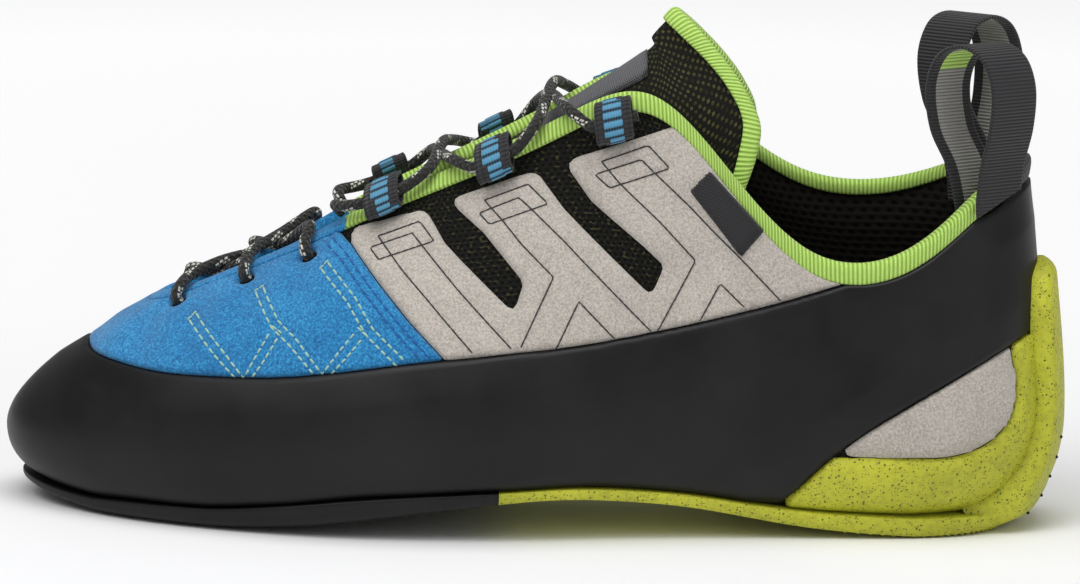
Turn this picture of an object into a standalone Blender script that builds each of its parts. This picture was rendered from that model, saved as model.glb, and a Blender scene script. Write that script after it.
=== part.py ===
"""Left climbing shoe: a slip-lasted upper with suede overlays, a rubber rand drawn round the heel, two outsoles and laces.

The toe points along -X, the outer side of the foot faces -Y, and the shoe stands on z = 0.
"""

import bmesh
import bpy
import numpy as np

MM = 0.001

# Overall sizes of the shoe
LENGTH = 276.0 * MM  # toe rubber to the back of the heel rubber
BALL_WIDTH = 93.6 * MM  # across the rubber at the ball
INSTEP_HEIGHT = 113.0 * MM  # floor to the top corner of the throat
BELLY_HEIGHT = 40.0 * MM  # scale for the height at which the walls are widest
ARCH_HEIGHT = 10.6 * MM  # floor to the underside of the waist
SIDE_LENGTH = 0.978 * LENGTH  # the length that the lines on the side are drawn to
LACE_WIDTH = 3.2 * MM

# Thickness of each layer
CLEARANCE = 0.3 * MM  # between pieces that lie on each other
UPPER_WALL = 2.2 * MM
VAMP_THICKNESS = 1.2 * MM
PANEL_THICKNESS = 1.1 * MM
HEEL_PANEL_THICKNESS = 0.9 * MM
RAND_THICKNESS = 2.0 * MM
FRONT_SOLE_THICKNESS = 5.4 * MM
REAR_SOLE_THICKNESS = 5.4 * MM
HEEL_WRAP_THICKNESS = 4.4 * MM
WAIST_SOLE_THICKNESS = 3.0 * MM
INSOLE_THICKNESS = 2.4 * MM
BINDING_THICKNESS = 0.9 * MM
BINDING_HEIGHT = 4.2 * MM
TONGUE_THICKNESS = 2.4 * MM
WEBBING_THICKNESS = 1.0 * MM
TAB_THICKNESS = 0.6 * MM

# One row for each section of the upper, from the toe tip to the back of the heel.
# along: share of the upper's length. outer, inner: where the wall is widest, as shares of half the ball width.
# widest: height of that line, share of BELLY_HEIGHT. tuck: how far the bottom edge lies inside it, share of BALL_WIDTH.
# camber: underside of the sole, share of ARCH_HEIGHT. sole: outsole thickness, share of its zone's own.
FORM_COLUMNS = ("along", "outer", "inner", "widest", "tuck", "camber", "sole")
FORM_TABLE = (
    (0.000, 0.27, 0.27, 0.46, 0.075, 0.34, 0.62),
    (0.012, 0.02, 0.545, 0.46, 0.070, 0.29, 0.62),
    (0.045, -0.21, 0.73, 0.47, 0.060, 0.12, 0.70),
    (0.105, -0.475, 0.87, 0.50, 0.040, -0.04, 0.88),
    (0.180, -0.695, 0.945, 0.52, 0.034, -0.03, 1.00),
    (0.270, -0.872, 0.955, 0.54, 0.032, 0.13, 1.20),
    (0.360, -0.965, 0.90, 0.58, 0.032, 0.44, 1.16),
    (0.478, -0.965, 0.775, 0.62, 0.032, 0.88, 0.71),
    (0.560, -0.890, 0.69, 0.66, 0.034, 1.00, 0.62),
    (0.660, -0.785, 0.635, 0.70, 0.040, 0.78, 0.66),
    (0.760, -0.712, 0.645, 0.80, 0.052, 0.30, 0.82),
    (0.850, -0.678, 0.675, 0.92, 0.075, 0.05, 0.96),
    (0.920, -0.610, 0.620, 1.02, 0.105, -0.06, 1.00),
    (0.968, -0.440, 0.450, 1.06, 0.135, -0.05, 1.00),
    (0.992, -0.232, 0.242, 1.08, 0.148, 0.00, 1.00),
    (1.000, 0.005, 0.005, 1.08, 0.150, 0.00, 1.00),
)

# The top edge of the upper at the same sections: the throat from its front end back, then the collar.
# along: share of the upper's length. outer, inner: sideways, shares of half the ball width.
# outer_height, inner_height: shares of INSTEP_HEIGHT. slope: how steeply the wall arrives there, in degrees.
# reach: how far that slope holds, share of BALL_WIDTH. rise: how far the wall stands up from its widest line, likewise.
RIM_COLUMNS = ("along", "outer", "inner", "outer_height", "inner_height", "slope", "reach", "rise")
RIM_TABLE = (
    (0.148, 0.110, 0.110, 0.484, 0.484, 30.0, 0.21, 0.10),
    (0.151, 0.050, 0.170, 0.487, 0.487, 29.0, 0.20, 0.105),
    (0.160, 0.005, 0.210, 0.495, 0.495, 25.0, 0.19, 0.12),
    (0.180, -0.020, 0.225, 0.510, 0.510, 21.0, 0.21, 0.14),
    (0.218, -0.055, 0.250, 0.550, 0.550, 20.0, 0.25, 0.17),
    (0.275, -0.115, 0.280, 0.612, 0.612, 24.0, 0.27, 0.18),
    (0.350, -0.235, 0.320, 0.715, 0.715, 36.0, 0.28, 0.18),
    (0.440, -0.315, 0.345, 0.820, 0.820, 50.0, 0.28, 0.19),
    (0.530, -0.395, 0.400, 0.930, 0.930, 62.0, 0.27, 0.20),
    (0.612, -0.450, 0.445, 0.990, 1.004, 72.0, 0.26, 0.22),
    (0.690, -0.515, 0.505, 0.827, 0.890, 80.0, 0.22, 0.21),
    (0.775, -0.570, 0.560, 0.639, 0.761, 86.0, 0.16, 0.18),
    (0.865, -0.545, 0.540, 0.651, 0.755, 90.0, 0.14, 0.18),
    (0.932, -0.405, 0.410, 0.774, 0.812, 93.0, 0.14, 0.20),
    (0.970, -0.210, 0.220, 0.828, 0.836, 96.0, 0.14, 0.22),
    (0.981, 0.005, 0.005, 0.845, 0.845, 97.0, 0.14, 0.22),
)

# Lines drawn on the side of the shoe, toe to heel: pairs of (share of SIDE_LENGTH from the middle, share of INSTEP_HEIGHT)
RAND_TOP_LINE = (
    (-0.437, 0.600), (-0.437, 0.420), (-0.431, 0.374), (-0.415, 0.355), (-0.360, 0.343), (-0.300, 0.347),
    (-0.240, 0.357), (-0.175, 0.380), (-0.110, 0.404), (-0.040, 0.424), (0.040, 0.447), (0.110, 0.476),
    (0.180, 0.511), (0.245, 0.549), (0.315, 0.603), (0.350, 0.640), (0.400, 0.713), (0.430, 0.742),
    (0.475, 0.815), (0.560, 0.860),
)
SLING_LOW_LINE = (
    (0.214, -0.100), (0.222, 0.030), (0.231, 0.072), (0.254, 0.125), (0.282, 0.190), (0.318, 0.257),
    (0.381, 0.348), (0.451, 0.438), (0.485, 0.466), (0.560, 0.480),
)
WINDOW_LOW_LINE = (
    (0.200, 0.196), (0.318, 0.193), (0.361, 0.192), (0.393, 0.193), (0.425, 0.213),
    (0.448, 0.254), (0.457, 0.312), (0.457, 0.370), (0.452, 0.430), (0.450, 0.600),
)
SEAM_LINE = (
    (-0.230, 0.760), (-0.189, 0.664), (-0.175, 0.640), (-0.147, 0.566), (-0.116, 0.487), (-0.083, 0.412), (-0.040, 0.320),
)
# The knit left open above the fingers of the quarter panels, with the two slots between them
KNIT_LINE = (
    (-0.230, 0.660), (-0.175, 0.644), (-0.175, 0.657), (-0.172, 0.668), (-0.168, 0.675), (-0.113, 0.719),
    (-0.107, 0.720), (-0.102, 0.713), (-0.097, 0.697), (-0.086, 0.658), (-0.070, 0.623), (-0.026, 0.530),
    (-0.022, 0.525), (-0.018, 0.530), (-0.012, 0.577), (-0.014, 0.590), (-0.026, 0.622), (-0.050, 0.685),
    (-0.074, 0.728), (-0.078, 0.738), (-0.078, 0.746), (-0.074, 0.756), (-0.067, 0.763), (-0.009, 0.815),
    (-0.003, 0.817), (0.003, 0.809), (0.009, 0.791), (0.026, 0.742), (0.059, 0.668), (0.103, 0.570),
    (0.107, 0.564), (0.111, 0.571), (0.119, 0.615), (0.118, 0.628), (0.100, 0.667), (0.051, 0.762),
    (0.031, 0.824), (0.029, 0.838), (0.032, 0.849), (0.038, 0.857), (0.126, 0.928), (0.150, 1.300),
    (-0.250, 1.300),
)
SIDE_TAB_LINE = ((0.161, 0.832), (0.142, 0.787), (0.192, 0.640), (0.214, 0.699))
# Seen from behind: the part of the heel that the rear sole climbs, (share of BALL_WIDTH, share of INSTEP_HEIGHT)
HEEL_WRAP_LINE = (
    (0.250, 0.004), (0.225, 0.060), (0.175, 0.140), (0.145, 0.250), (0.132, 0.400), (0.118, 0.520), (0.090, 0.590),
    (0.045, 0.615),
)

# How much thicker the heel's tongue of rubber grows toward the floor: heights of the wall, and the growth there (mm).
HEEL_SWELL = ((8.5, 11.2, 15.7, 22.0, 30.0), (1.5, 2.6, 0.9, 0.3, 0.0))

ROWS = len(FORM_TABLE) - 1  # sections from the toe tip to the heel
ROUND = 2 * ROWS  # sections once round the shoe
STEPS_PER_ROW = 2
TURN_ROWS = 5  # rows of the wall's lower turn
SIDE_ROWS = 5  # rows from there to the binding


def colour(name, rgb, roughness):
    material = bpy.data.materials.new(name)
    material.use_nodes = True
    shader = material.node_tree.nodes["Principled BSDF"]
    shader.inputs["Base Color"].default_value = (*rgb, 1.0)
    shader.inputs["Roughness"].default_value = roughness
    shader.inputs["Metallic"].default_value = 0.0
    return material


MATERIALS = {
    "knit": colour("black_knit", (0.02, 0.02, 0.02), 0.9),
    "suede": colour("blue_suede", (0.03, 0.20, 0.62), 0.95),
    "microfibre": colour("grey_microfibre", (0.50, 0.47, 0.43), 0.9),
    "rubber": colour("black_rubber", (0.02, 0.02, 0.022), 0.65),
    "lime_rubber": colour("lime_rubber", (0.45, 0.50, 0.04), 0.6),
    "binding": colour("lime_binding", (0.38, 0.72, 0.10), 0.8),
    "webbing": colour("black_webbing", (0.025, 0.025, 0.028), 0.8),
    "keeper": colour("blue_striped_webbing", (0.03, 0.12, 0.22), 0.8),
    "lace": colour("black_lace", (0.02, 0.02, 0.018), 0.8),
    "board": colour("insole_board", (0.05, 0.05, 0.05), 0.9),
    "label": colour("grey_label", (0.12, 0.12, 0.13), 0.7),
}


def closed_spline(values):
    """Second derivatives of the smooth closed curve through values, one unit apart."""
    count = len(values)
    system = np.zeros((count, count))
    for i in range(count):
        system[i, i] = 4.0
        system[i, (i - 1) % count] = 1.0
        system[i, (i + 1) % count] = 1.0
    bends = 6.0 * (np.roll(values, 1) - 2.0 * values + np.roll(values, -1))
    return np.linalg.solve(system, bends)


def round_the_shoe(table, columns, outer, inner):
    """One closed column of values: down the outer side from the toe to the heel, then back up the inner side."""
    out = [row[columns.index(outer)] for row in table]
    back = [row[columns.index(inner)] for row in table]
    values = np.array(out + back[-2:0:-1], float)
    return values, closed_spline(values)


FORM = {name: round_the_shoe(FORM_TABLE, FORM_COLUMNS, name, name) for name in FORM_COLUMNS}
FORM["side"] = round_the_shoe(FORM_TABLE, FORM_COLUMNS, "outer", "inner")
RIM = {name: round_the_shoe(RIM_TABLE, RIM_COLUMNS, name, name) for name in RIM_COLUMNS}
RIM["side"] = round_the_shoe(RIM_TABLE, RIM_COLUMNS, "outer", "inner")
RIM["height"] = round_the_shoe(RIM_TABLE, RIM_COLUMNS, "outer_height", "inner_height")


def read(column, station):
    """The value of a closed column at a station, which runs from 0 at the toe tip to ROUND back at it."""
    values, bends = column
    low = int(np.floor(station)) % len(values)
    high = (low + 1) % len(values)
    b = station - np.floor(station)
    a = 1.0 - b
    curve = ((a**3 - a) * bends[low] + (b**3 - b) * bends[high]) / 6.0
    return a * values[low] + b * values[high] + curve


TOE_X = -LENGTH / 2 + CLEARANCE + RAND_THICKNESS
HEEL_X = LENGTH / 2 - HEEL_WRAP_THICKNESS - RAND_THICKNESS - 2 * CLEARANCE
UPPER_LENGTH = HEEL_X - TOE_X
HALF_WIDTH = BALL_WIDTH / 2 - CLEARANCE - RAND_THICKNESS
SOLE_SPLIT = 0.475  # share of the upper's length at which the front sole meets the rear one


def outline(station):
    """The widest line of the upper, seen from above."""
    along = TOE_X + read(FORM["along"], station) * UPPER_LENGTH
    return np.array([along, read(FORM["side"], station) * HALF_WIDTH])


def outward(station):
    """The level direction that points away from the foot at a station."""
    step = outline(station + 0.02) - outline(station - 0.02)
    normal = np.array([step[1], -step[0], 0.0])
    return normal / np.linalg.norm(normal)


def sole_thickness(station):
    share = read(FORM["sole"], station)
    return share * (FRONT_SOLE_THICKNESS if read(FORM["along"], station) < SOLE_SPLIT else REAR_SOLE_THICKNESS)


def camber(station):
    """Height of the sole's underside, flat on the floor under the forefoot and the heel."""
    return max(0.0, read(FORM["camber"], station)) * ARCH_HEIGHT


def under_layers(station):
    """What lies between the upper's bottom edge and the outsole: the rand, turned under, and its clearances."""
    return RAND_THICKNESS + 2 * CLEARANCE


def smooth_thickness(station):
    """The outsole's thickness, eased across the line where the two soles meet."""
    along = read(FORM["along"], station)
    share = read(FORM["sole"], station)
    ease = np.clip((along - SOLE_SPLIT) / 0.2 + 0.5, 0.0, 1.0)
    return share * (FRONT_SOLE_THICKNESS * (1 - ease) + REAR_SOLE_THICKNESS * ease)


def feather_height(station):
    """Height of the upper's bottom edge."""
    return camber(station) + smooth_thickness(station) + under_layers(station)


def wall(station):
    """The outer face of the upper at a station, as points from the bottom edge up to the rim."""
    flat = outline(station)
    out = outward(station)
    up = np.array([0.0, 0.0, 1.0])
    widest = np.array([flat[0], flat[1], feather_height(station) + read(FORM["widest"], station) * BELLY_HEIGHT * 0.5])
    bottom = feather_height(station)
    tuck = read(FORM["tuck"], station) * BALL_WIDTH
    turn = np.linspace(0.0, 1.0, TURN_ROWS + 1)[:, None] ** 1.15 * (np.pi / 2)
    lower = widest + out * tuck * (np.sin(turn) - 1.0) - up * (widest[2] - bottom) * np.cos(turn)
    rim = rim_point(station)
    slope = np.radians(read(RIM["slope"], station))
    reach = read(RIM["reach"], station) * BALL_WIDTH
    rise = read(RIM["rise"], station) * BALL_WIDTH
    first = widest + up * rise
    second = rim + (out * np.cos(slope) - up * np.sin(slope)) * reach
    t = np.linspace(0.0, 1.0, 41)[:, None]
    upper = (1 - t) ** 3 * widest + 3 * (1 - t) ** 2 * t * first + 3 * (1 - t) * t**2 * second + t**3 * rim
    return lower, upper


def rim_point(station):
    along = TOE_X + read(RIM["along"], station) * UPPER_LENGTH
    side = read(RIM["side"], station) * HALF_WIDTH
    return np.array([along, side, read(RIM["height"], station) * INSTEP_HEIGHT])


def rows_at(station):
    """The wall's points at the rows that every piece shares: the lower turn, the side, the binding's edge, the rim."""
    lower, upper = wall(station)
    steps = np.linalg.norm(np.diff(upper, axis=0), axis=1)
    length = np.concatenate([[0.0], np.cumsum(steps)])
    free = length[-1] - BINDING_HEIGHT
    stops = np.append(np.linspace(0.0, free, SIDE_ROWS + 1)[1:], length[-1])
    side = np.column_stack([np.interp(stops, length, upper[:, i]) for i in range(3)])
    return np.vstack([lower, side])


RIM_ROW = TURN_ROWS + SIDE_ROWS + 1
BINDING_ROW = RIM_ROW - 1


def form_grid(stations):
    """Points and outward normals of the upper's outer face, as arrays of [station, row, xyz]."""
    points, normals = [], []
    for station in stations:
        here = rows_at(station)
        along = rows_at(station + 0.03) - rows_at(station - 0.03)
        lower, upper = wall(station)
        line = np.vstack([lower[:-1], upper])
        rising = np.array([rising_at(line, point) for point in here])
        normal = np.cross(along, rising)
        points.append(here)
        normals.append(normal / np.linalg.norm(normal, axis=1)[:, None])
    return np.array(points), np.array(normals)


def rising_at(line, point):
    """The direction of a wall line at one of its points."""
    nearest = int(np.argmin(np.linalg.norm(line - point, axis=1)))
    low, high = max(0, nearest - 1), min(len(line) - 1, nearest + 1)
    if nearest == 0:
        flat = line[1] - line[0]
        return np.array([flat[0], flat[1], 0.0])
    return line[high] - line[low]


ALL_STATIONS = np.arange(0, ROUND, 1.0 / STEPS_PER_ROW)
POINTS, NORMALS = form_grid(ALL_STATIONS)


def layer(offset, stations=slice(None), rows=slice(None)):
    """The form's grid moved outward by an offset."""
    return POINTS[stations, rows] + NORMALS[stations, rows] * offset


def finish_mesh(name, vertices, faces, material):
    mesh = bpy.data.meshes.new(name)
    mesh.from_pydata([tuple(v) for v in vertices], [], faces)
    item = bpy.data.objects.new(name, mesh)
    bpy.context.scene.collection.objects.link(item)
    mesh.materials.append(MATERIALS[material])
    return item


def shell(name, inner, outer, material, closed=True):
    """A solid between two grids of the same size, [station, row, xyz], closed round its edges."""
    count, rows = inner.shape[:2]
    vertices = np.vstack([inner.reshape(-1, 3), outer.reshape(-1, 3)])
    faces = []
    half = count * rows

    def at(i, j, side):
        return (i % count) * rows + j + side * half

    def two(a, b, c, d):
        faces.extend([(a, b, c), (a, c, d)])

    for i in range(count if closed else count - 1):
        for j in range(rows - 1):
            two(at(i, j, 1), at(i + 1, j, 1), at(i + 1, j + 1, 1), at(i, j + 1, 1))
            two(at(i, j, 0), at(i, j + 1, 0), at(i + 1, j + 1, 0), at(i + 1, j, 0))
        two(at(i, 0, 0), at(i + 1, 0, 0), at(i + 1, 0, 1), at(i, 0, 1))
        j = rows - 1
        two(at(i + 1, j, 0), at(i, j, 0), at(i, j, 1), at(i + 1, j, 1))
    if not closed:
        for j in range(rows - 1):
            two(at(0, j, 0), at(0, j, 1), at(0, j + 1, 1), at(0, j + 1, 0))
            i = count - 1
            two(at(i, j, 1), at(i, j, 0), at(i, j + 1, 0), at(i, j + 1, 1))
    return finish_mesh(name, vertices, faces, material)


def in_metres(line, across=SIDE_LENGTH, high=INSTEP_HEIGHT):
    return np.array(line, float) * (across, high)


def beside(line, distance):
    """A line moved to its own left."""
    steps = np.diff(line, axis=0)
    sides = np.column_stack([-steps[:, 1], steps[:, 0]])
    sides /= np.linalg.norm(sides, axis=1)[:, None]
    corners = np.vstack([sides[:1], sides[:-1] + sides[1:], sides[-1:]])
    corners /= np.linalg.norm(corners, axis=1)[:, None]
    return line + corners * distance


SIDEWAYS = 0.33 * LENGTH


def prism(outline_points, axis="y", low=-SIDEWAYS, high=SIDEWAYS):
    """A straight bar whose section is a closed line in the X-Z plane, or in the Y-Z plane."""
    flat = np.array(outline_points, float)
    turned = np.sum(flat[:, 0] * np.roll(flat[:, 1], -1) - np.roll(flat[:, 0], -1) * flat[:, 1])
    if (turned > 0) == (axis == "y"):
        flat = flat[::-1]
    count = len(flat)
    vertices = []
    for end in (low, high):
        for a, z in flat:
            vertices.append((a, end, z) if axis == "y" else (end, a, z))
    faces = [tuple(range(count - 1, -1, -1)), tuple(range(count, 2 * count))]
    for i in range(count):
        k = (i + 1) % count
        faces.append((i, k, count + k, count + i))
    return finish_mesh("cutter", vertices, faces, "rubber")


def combine(item, tool, operation):
    """Carry out one boolean step on item and put the tool away."""
    step = item.modifiers.new("step", "BOOLEAN")
    step.operation = operation
    step.solver = "EXACT"
    step.object = tool
    bpy.context.view_layer.update()
    graph = bpy.context.evaluated_depsgraph_get()
    mesh = bpy.data.meshes.new_from_object(item.evaluated_get(graph))
    old = item.data
    item.modifiers.clear()
    item.data = mesh
    bpy.data.meshes.remove(old)
    bpy.data.objects.remove(tool, do_unlink=True)
    return item


def keep(item, tool):
    return combine(item, tool, "INTERSECT")


def remove(item, tool):
    return combine(item, tool, "DIFFERENCE")


def join(item, tool):
    return combine(item, tool, "UNION")


FAR = 0.6 * LENGTH
HIGH = 2.0 * INSTEP_HEIGHT
LOW = -0.3 * INSTEP_HEIGHT


def above_line(line):
    return [tuple(p) for p in line] + [(FAR, line[-1][1]), (FAR, HIGH), (line[0][0], HIGH)]


def below_line(line):
    return [tuple(p) for p in line] + [(FAR, line[-1][1]), (FAR, LOW), (-FAR, LOW), (-FAR, line[0][1])]


def make_upper():
    upper = shell("upper", layer(-UPPER_WALL), layer(0.0), "knit")
    for side in (1, -1):
        for place in LACE_HOLES:
            remove(upper, hole_cutter(place, side))
    return upper


def make_vamp():
    """Suede over the toe box and the front of the throat, cut out at the rand and at the quarter seam."""
    rows = slice(0, BINDING_ROW + 1)
    vamp = shell("vamp", layer(CLEARANCE, rows=rows), layer(CLEARANCE + VAMP_THICKNESS, rows=rows), "suede")
    keep(vamp, prism(above_line(beside(in_metres(RAND_TOP_LINE), CLEARANCE))))
    seam = beside(in_metres(SEAM_LINE), -CLEARANCE / 2)
    keep(vamp, prism([tuple(p) for p in seam] + [(seam[-1][0], LOW), (-FAR, LOW), (-FAR, HIGH), (seam[0][0], HIGH)]))
    for side in (1, -1):
        for place in LACE_HOLES:
            remove(vamp, hole_cutter(place, side))
    return vamp


def make_quarter(name, side):
    """Grey panel along one side, cut into three fingers that stop short of the throat."""
    rows = slice(0, BINDING_ROW + 1)
    panel = shell(name, layer(CLEARANCE, rows=rows), layer(CLEARANCE + PANEL_THICKNESS, rows=rows), "microfibre")
    keep(panel, prism(above_line(beside(in_metres(RAND_TOP_LINE), CLEARANCE))))
    seam = beside(in_metres(SEAM_LINE), CLEARANCE / 2)
    back = (0.352 if side < 0 else 0.418) * LENGTH
    low, high = (-SIDEWAYS, 0.0) if side < 0 else (0.0, SIDEWAYS)
    edge = [tuple(p) for p in seam] + [(seam[-1][0], LOW), (back, LOW), (back, HIGH), (seam[0][0], HIGH)]
    keep(panel, prism(edge, low=low, high=high))
    remove(panel, prism(in_metres(KNIT_LINE)))
    return panel


def make_rand():
    """Black rubber from the sole's edge up the side, drawn as a band round the back of the heel."""
    rand = shell("rand", layer(CLEARANCE, rows=slice(0, BINDING_ROW + 1)),
                 layer(CLEARANCE + RAND_THICKNESS, rows=slice(0, BINDING_ROW + 1)), "rubber")
    keep(rand, prism(below_line(in_metres(RAND_TOP_LINE))))
    remove(rand, prism(below_line(in_metres(SLING_LOW_LINE))[:-2] + [(0.2 * LENGTH, LOW)]))
    return rand


def below_sling():
    line = beside(in_metres(SLING_LOW_LINE), -CLEARANCE)
    return [tuple(p) for p in line] + [(FAR, LOW), (line[0][0], LOW)]


def make_heel_rand():
    rand = shell("heel_rand", layer(CLEARANCE, rows=slice(0, BINDING_ROW + 1)),
                 layer(CLEARANCE + RAND_THICKNESS, rows=slice(0, BINDING_ROW + 1)), "lime_rubber")
    keep(rand, prism(below_sling()))
    remove(rand, prism(window()))
    return rand


def window(inset=0.0):
    line = beside(in_metres(WINDOW_LOW_LINE), inset)
    return [tuple(p) for p in line] + [(line[0][0], line[-1][1])]


def make_heel_panel(name, side):
    panel = shell(name, layer(CLEARANCE, rows=slice(0, BINDING_ROW + 1)),
                  layer(CLEARANCE + HEEL_PANEL_THICKNESS, rows=slice(0, BINDING_ROW + 1)), "microfibre")
    keep(panel, prism(below_sling()))
    low, high = (-SIDEWAYS, 0.0) if side < 0 else (0.0, SIDEWAYS)
    keep(panel, prism(window(CLEARANCE), low=low, high=high))
    return panel


def sole_rings(stations, split, pull):
    """Rings of an outsole from its top edge round the side to the flat underside, [station, ring, xyz]."""
    rings = []
    for station in stations:
        flat = outline(station)
        out = outward(station)[:2]
        tuck = read(FORM["tuck"], station) * BALL_WIDTH
        under = camber(station)
        thick = smooth_thickness(station)
        along = read(FORM["along"], station)
        back = np.clip((along - 0.88) / 0.12, 0.0, 1.0) ** 2
        edge = 0.40 * tuck - 0.9 * MM - 3.5 * MM * back
        soft = np.interp(along, (0.40, 0.60), (1.0, 0.40))
        knee = (0.36 * soft * (1.0 - back) + 0.33 * back) * thick
        foot = (0.10 * soft * (1.0 - back) + 0.11 * back) * thick
        profile = ((edge + (0.2 + 0.6 * back) * MM, thick), (edge + 0.6 * back * MM, 0.80 * thick),
                   (edge + (0.9 + 2.6 * back) * MM, knee), (edge + (3.4 + 4.9 * back) * MM, foot),
                   (edge + (8.0 + 7.0 * back) * MM, 0.0))
        shift = np.array([pull if station in (split, ROUND - split) else 0.0, 0.0])
        ring = [(*(flat - out * inset + shift), under + high) for inset, high in profile]
        rings.append(ring)
    return np.array(rings)


def make_sole(name, first, last, material, pull):
    """An outsole between two pairs of sections: its rings, a flat top and a flat underside."""
    near = [s for s in ALL_STATIONS if s <= ROUND / 2 and first <= s <= last]
    far = [ROUND - s for s in near][::-1]
    if first <= 0:
        far = far[:-1]
    if last >= ROUND / 2:
        far = far[1:]
    stations = near + far
    rings = sole_rings(stations, SPLIT_STATION, pull)
    count, rows = rings.shape[:2]
    pairs = [(stations.index(s), stations.index(ROUND - s) if (ROUND - s) in stations else stations.index(s)) for s in near]
    faces = []

    def at(i, j):
        return i * rows + j

    closing = []
    for i in range(count):
        k = (i + 1) % count
        gap = abs(stations[k] - stations[i])
        if gap > 1.0 and gap < ROUND - 1.0:
            closing.append((i, k))
            continue
        for j in range(rows - 1):
            a, b, c, d = at(i, j), at(k, j), at(k, j + 1), at(i, j + 1)
            faces.extend([(a, c, b), (a, d, c)])
    for (a, b), (c, d) in zip(pairs[:-1], pairs[1:]):
        for row, turned in ((0, False), (rows - 1, True)):
            loop = []
            for corner in (a, c, d, b):
                if at(corner, row) not in loop:
                    loop.append(at(corner, row))
            faces.append(tuple(loop[::-1]) if turned else tuple(loop))
    for i, k in closing:
        faces.append(tuple([at(i, j) for j in range(rows)] + [at(k, j) for j in range(rows - 1, -1, -1)]))
    item = finish_mesh(name, rings.reshape(-1, 3), faces, material)
    settle(item)
    return item


def settle(item):
    """Weld, triangulate and turn all faces outward."""
    work = bmesh.new()
    work.from_mesh(item.data)
    bmesh.ops.remove_doubles(work, verts=work.verts, dist=0.01 * MM)
    bmesh.ops.dissolve_degenerate(work, edges=work.edges, dist=0.005 * MM)
    bmesh.ops.triangulate(work, faces=work.faces)
    bmesh.ops.recalc_face_normals(work, faces=work.faces)
    if work.calc_volume(signed=True) < 0:
        bmesh.ops.reverse_faces(work, faces=work.faces)
    work.to_mesh(item.data)
    work.free()
    item.data.shade_smooth()
    item.data.set_sharp_from_angle(angle=np.radians(40))


def make_front_sole():
    return make_sole("outsole_front", 0.0, SPLIT_STATION, "rubber", -CLEARANCE / 2)


def make_rear_sole():
    """The rear sole's tread plate, joined to the tongue of rubber that climbs the back of the heel."""
    sole = make_sole("outsole_rear", SPLIT_STATION, ROUND / 2, "lime_rubber", CLEARANCE / 2)
    low = list(ALL_STATIONS).index(ROUND / 2 - 3.0)
    high = list(ALL_STATIONS).index(ROUND / 2 + 3.0)
    inner = 2 * CLEARANCE + RAND_THICKNESS
    part = slice(low, high + 1)
    rows = slice(1, BINDING_ROW + 1)
    outer = inner + HEEL_WRAP_THICKNESS + np.interp(POINTS[part, rows, 2:3] / MM, *HEEL_SWELL) * MM
    wrap = shell("wrap", layer(inner, part, rows), layer(outer, part, rows), "lime_rubber", closed=False)
    half = in_metres(HEEL_WRAP_LINE, BALL_WIDTH)
    across = [tuple(p) for p in half] + [(-y, z) for y, z in half[::-1]]
    keep(wrap, prism(across, axis="x", low=0.0, high=FAR))
    settle(wrap)
    join(sole, wrap)
    return sole


def make_insole():
    """The board that the foot stands on, inside the upper's bottom edge."""
    near = [s for s in ALL_STATIONS if s <= ROUND / 2]
    ring_low, ring_high = [], []
    for station in ALL_STATIONS:
        flat = outline(station)
        out = outward(station)[:2]
        inset = read(FORM["tuck"], station) * BALL_WIDTH + CLEARANCE
        base = camber(station) + smooth_thickness(station) + CLEARANCE
        ring_low.append((*(flat - out * inset), base))
        ring_high.append((*(flat - out * inset), base + INSOLE_THICKNESS))
    count = len(ALL_STATIONS)
    faces = []
    for i in range(count):
        k = (i + 1) % count
        faces.append((i, k, count + k, count + i))
    for i in range(len(near) - 1):
        for lift, turned in ((0, True), (count, False)):
            loop = []
            for corner in (i, i + 1, (count - i - 1) % count, (count - i) % count):
                if corner + lift not in loop:
                    loop.append(corner + lift)
            faces.append(tuple(loop[::-1]) if turned else tuple(loop))
    item = finish_mesh("insole", ring_low + ring_high, faces, "board")
    settle(item)
    return item


def make_binding():
    """Tape folded over the whole rim: one folded section carried round the opening."""
    out, inside = CLEARANCE + BINDING_THICKNESS, -UPPER_WALL - CLEARANCE - BINDING_THICKNESS
    over = CLEARANCE + BINDING_THICKNESS
    section = (
        (out, 0.07, 0.0), (out, 1.0, 0.0), (out - 0.7 * MM, 1.0, over), (inside + 0.7 * MM, 1.0, over), (inside, 1.0, 0.0),
        (inside, 0.07, 0.0), (-UPPER_WALL - CLEARANCE, 0.07, 0.0), (-UPPER_WALL - CLEARANCE, 1.0, CLEARANCE),
        (CLEARANCE, 1.0, CLEARANCE), (CLEARANCE, 0.07, 0.0),
    )
    return folded_tape("collar_binding", POINTS[:, BINDING_ROW], POINTS[:, RIM_ROW], NORMALS[:, BINDING_ROW],
                       NORMALS[:, RIM_ROW], section, "binding", True)


def folded_tape(name, low, high, low_normal, high_normal, section, material, closed):
    """Carry a folded section along an edge. Each corner: offset outward, share of the way up, extra beyond the edge."""
    rising = high - low
    rising /= np.linalg.norm(rising, axis=1)[:, None]
    grid = []
    for offset, share, beyond in section:
        normal = low_normal * (1 - share) + high_normal * share
        grid.append(low * (1 - share) + high * share + normal * offset + rising * beyond)
    grid = np.stack(grid, axis=1)
    count, corners = grid.shape[:2]
    faces = []
    for i in range(count if closed else count - 1):
        k = (i + 1) % count
        for j in range(corners):
            n = (j + 1) % corners
            a, b, c, d = i * corners + j, k * corners + j, k * corners + n, i * corners + n
            if section[n][1] < section[j][1]:
                a, b, c, d = d, a, b, c
            faces.extend([(a, b, c), (a, c, d)])
    if not closed:
        faces.append(tuple(range(corners)))
        faces.append(tuple((count - 1) * corners + j for j in range(corners - 1, -1, -1)))
    item = finish_mesh(name, grid.reshape(-1, 3), faces, material)
    settle(item)
    return item



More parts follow.
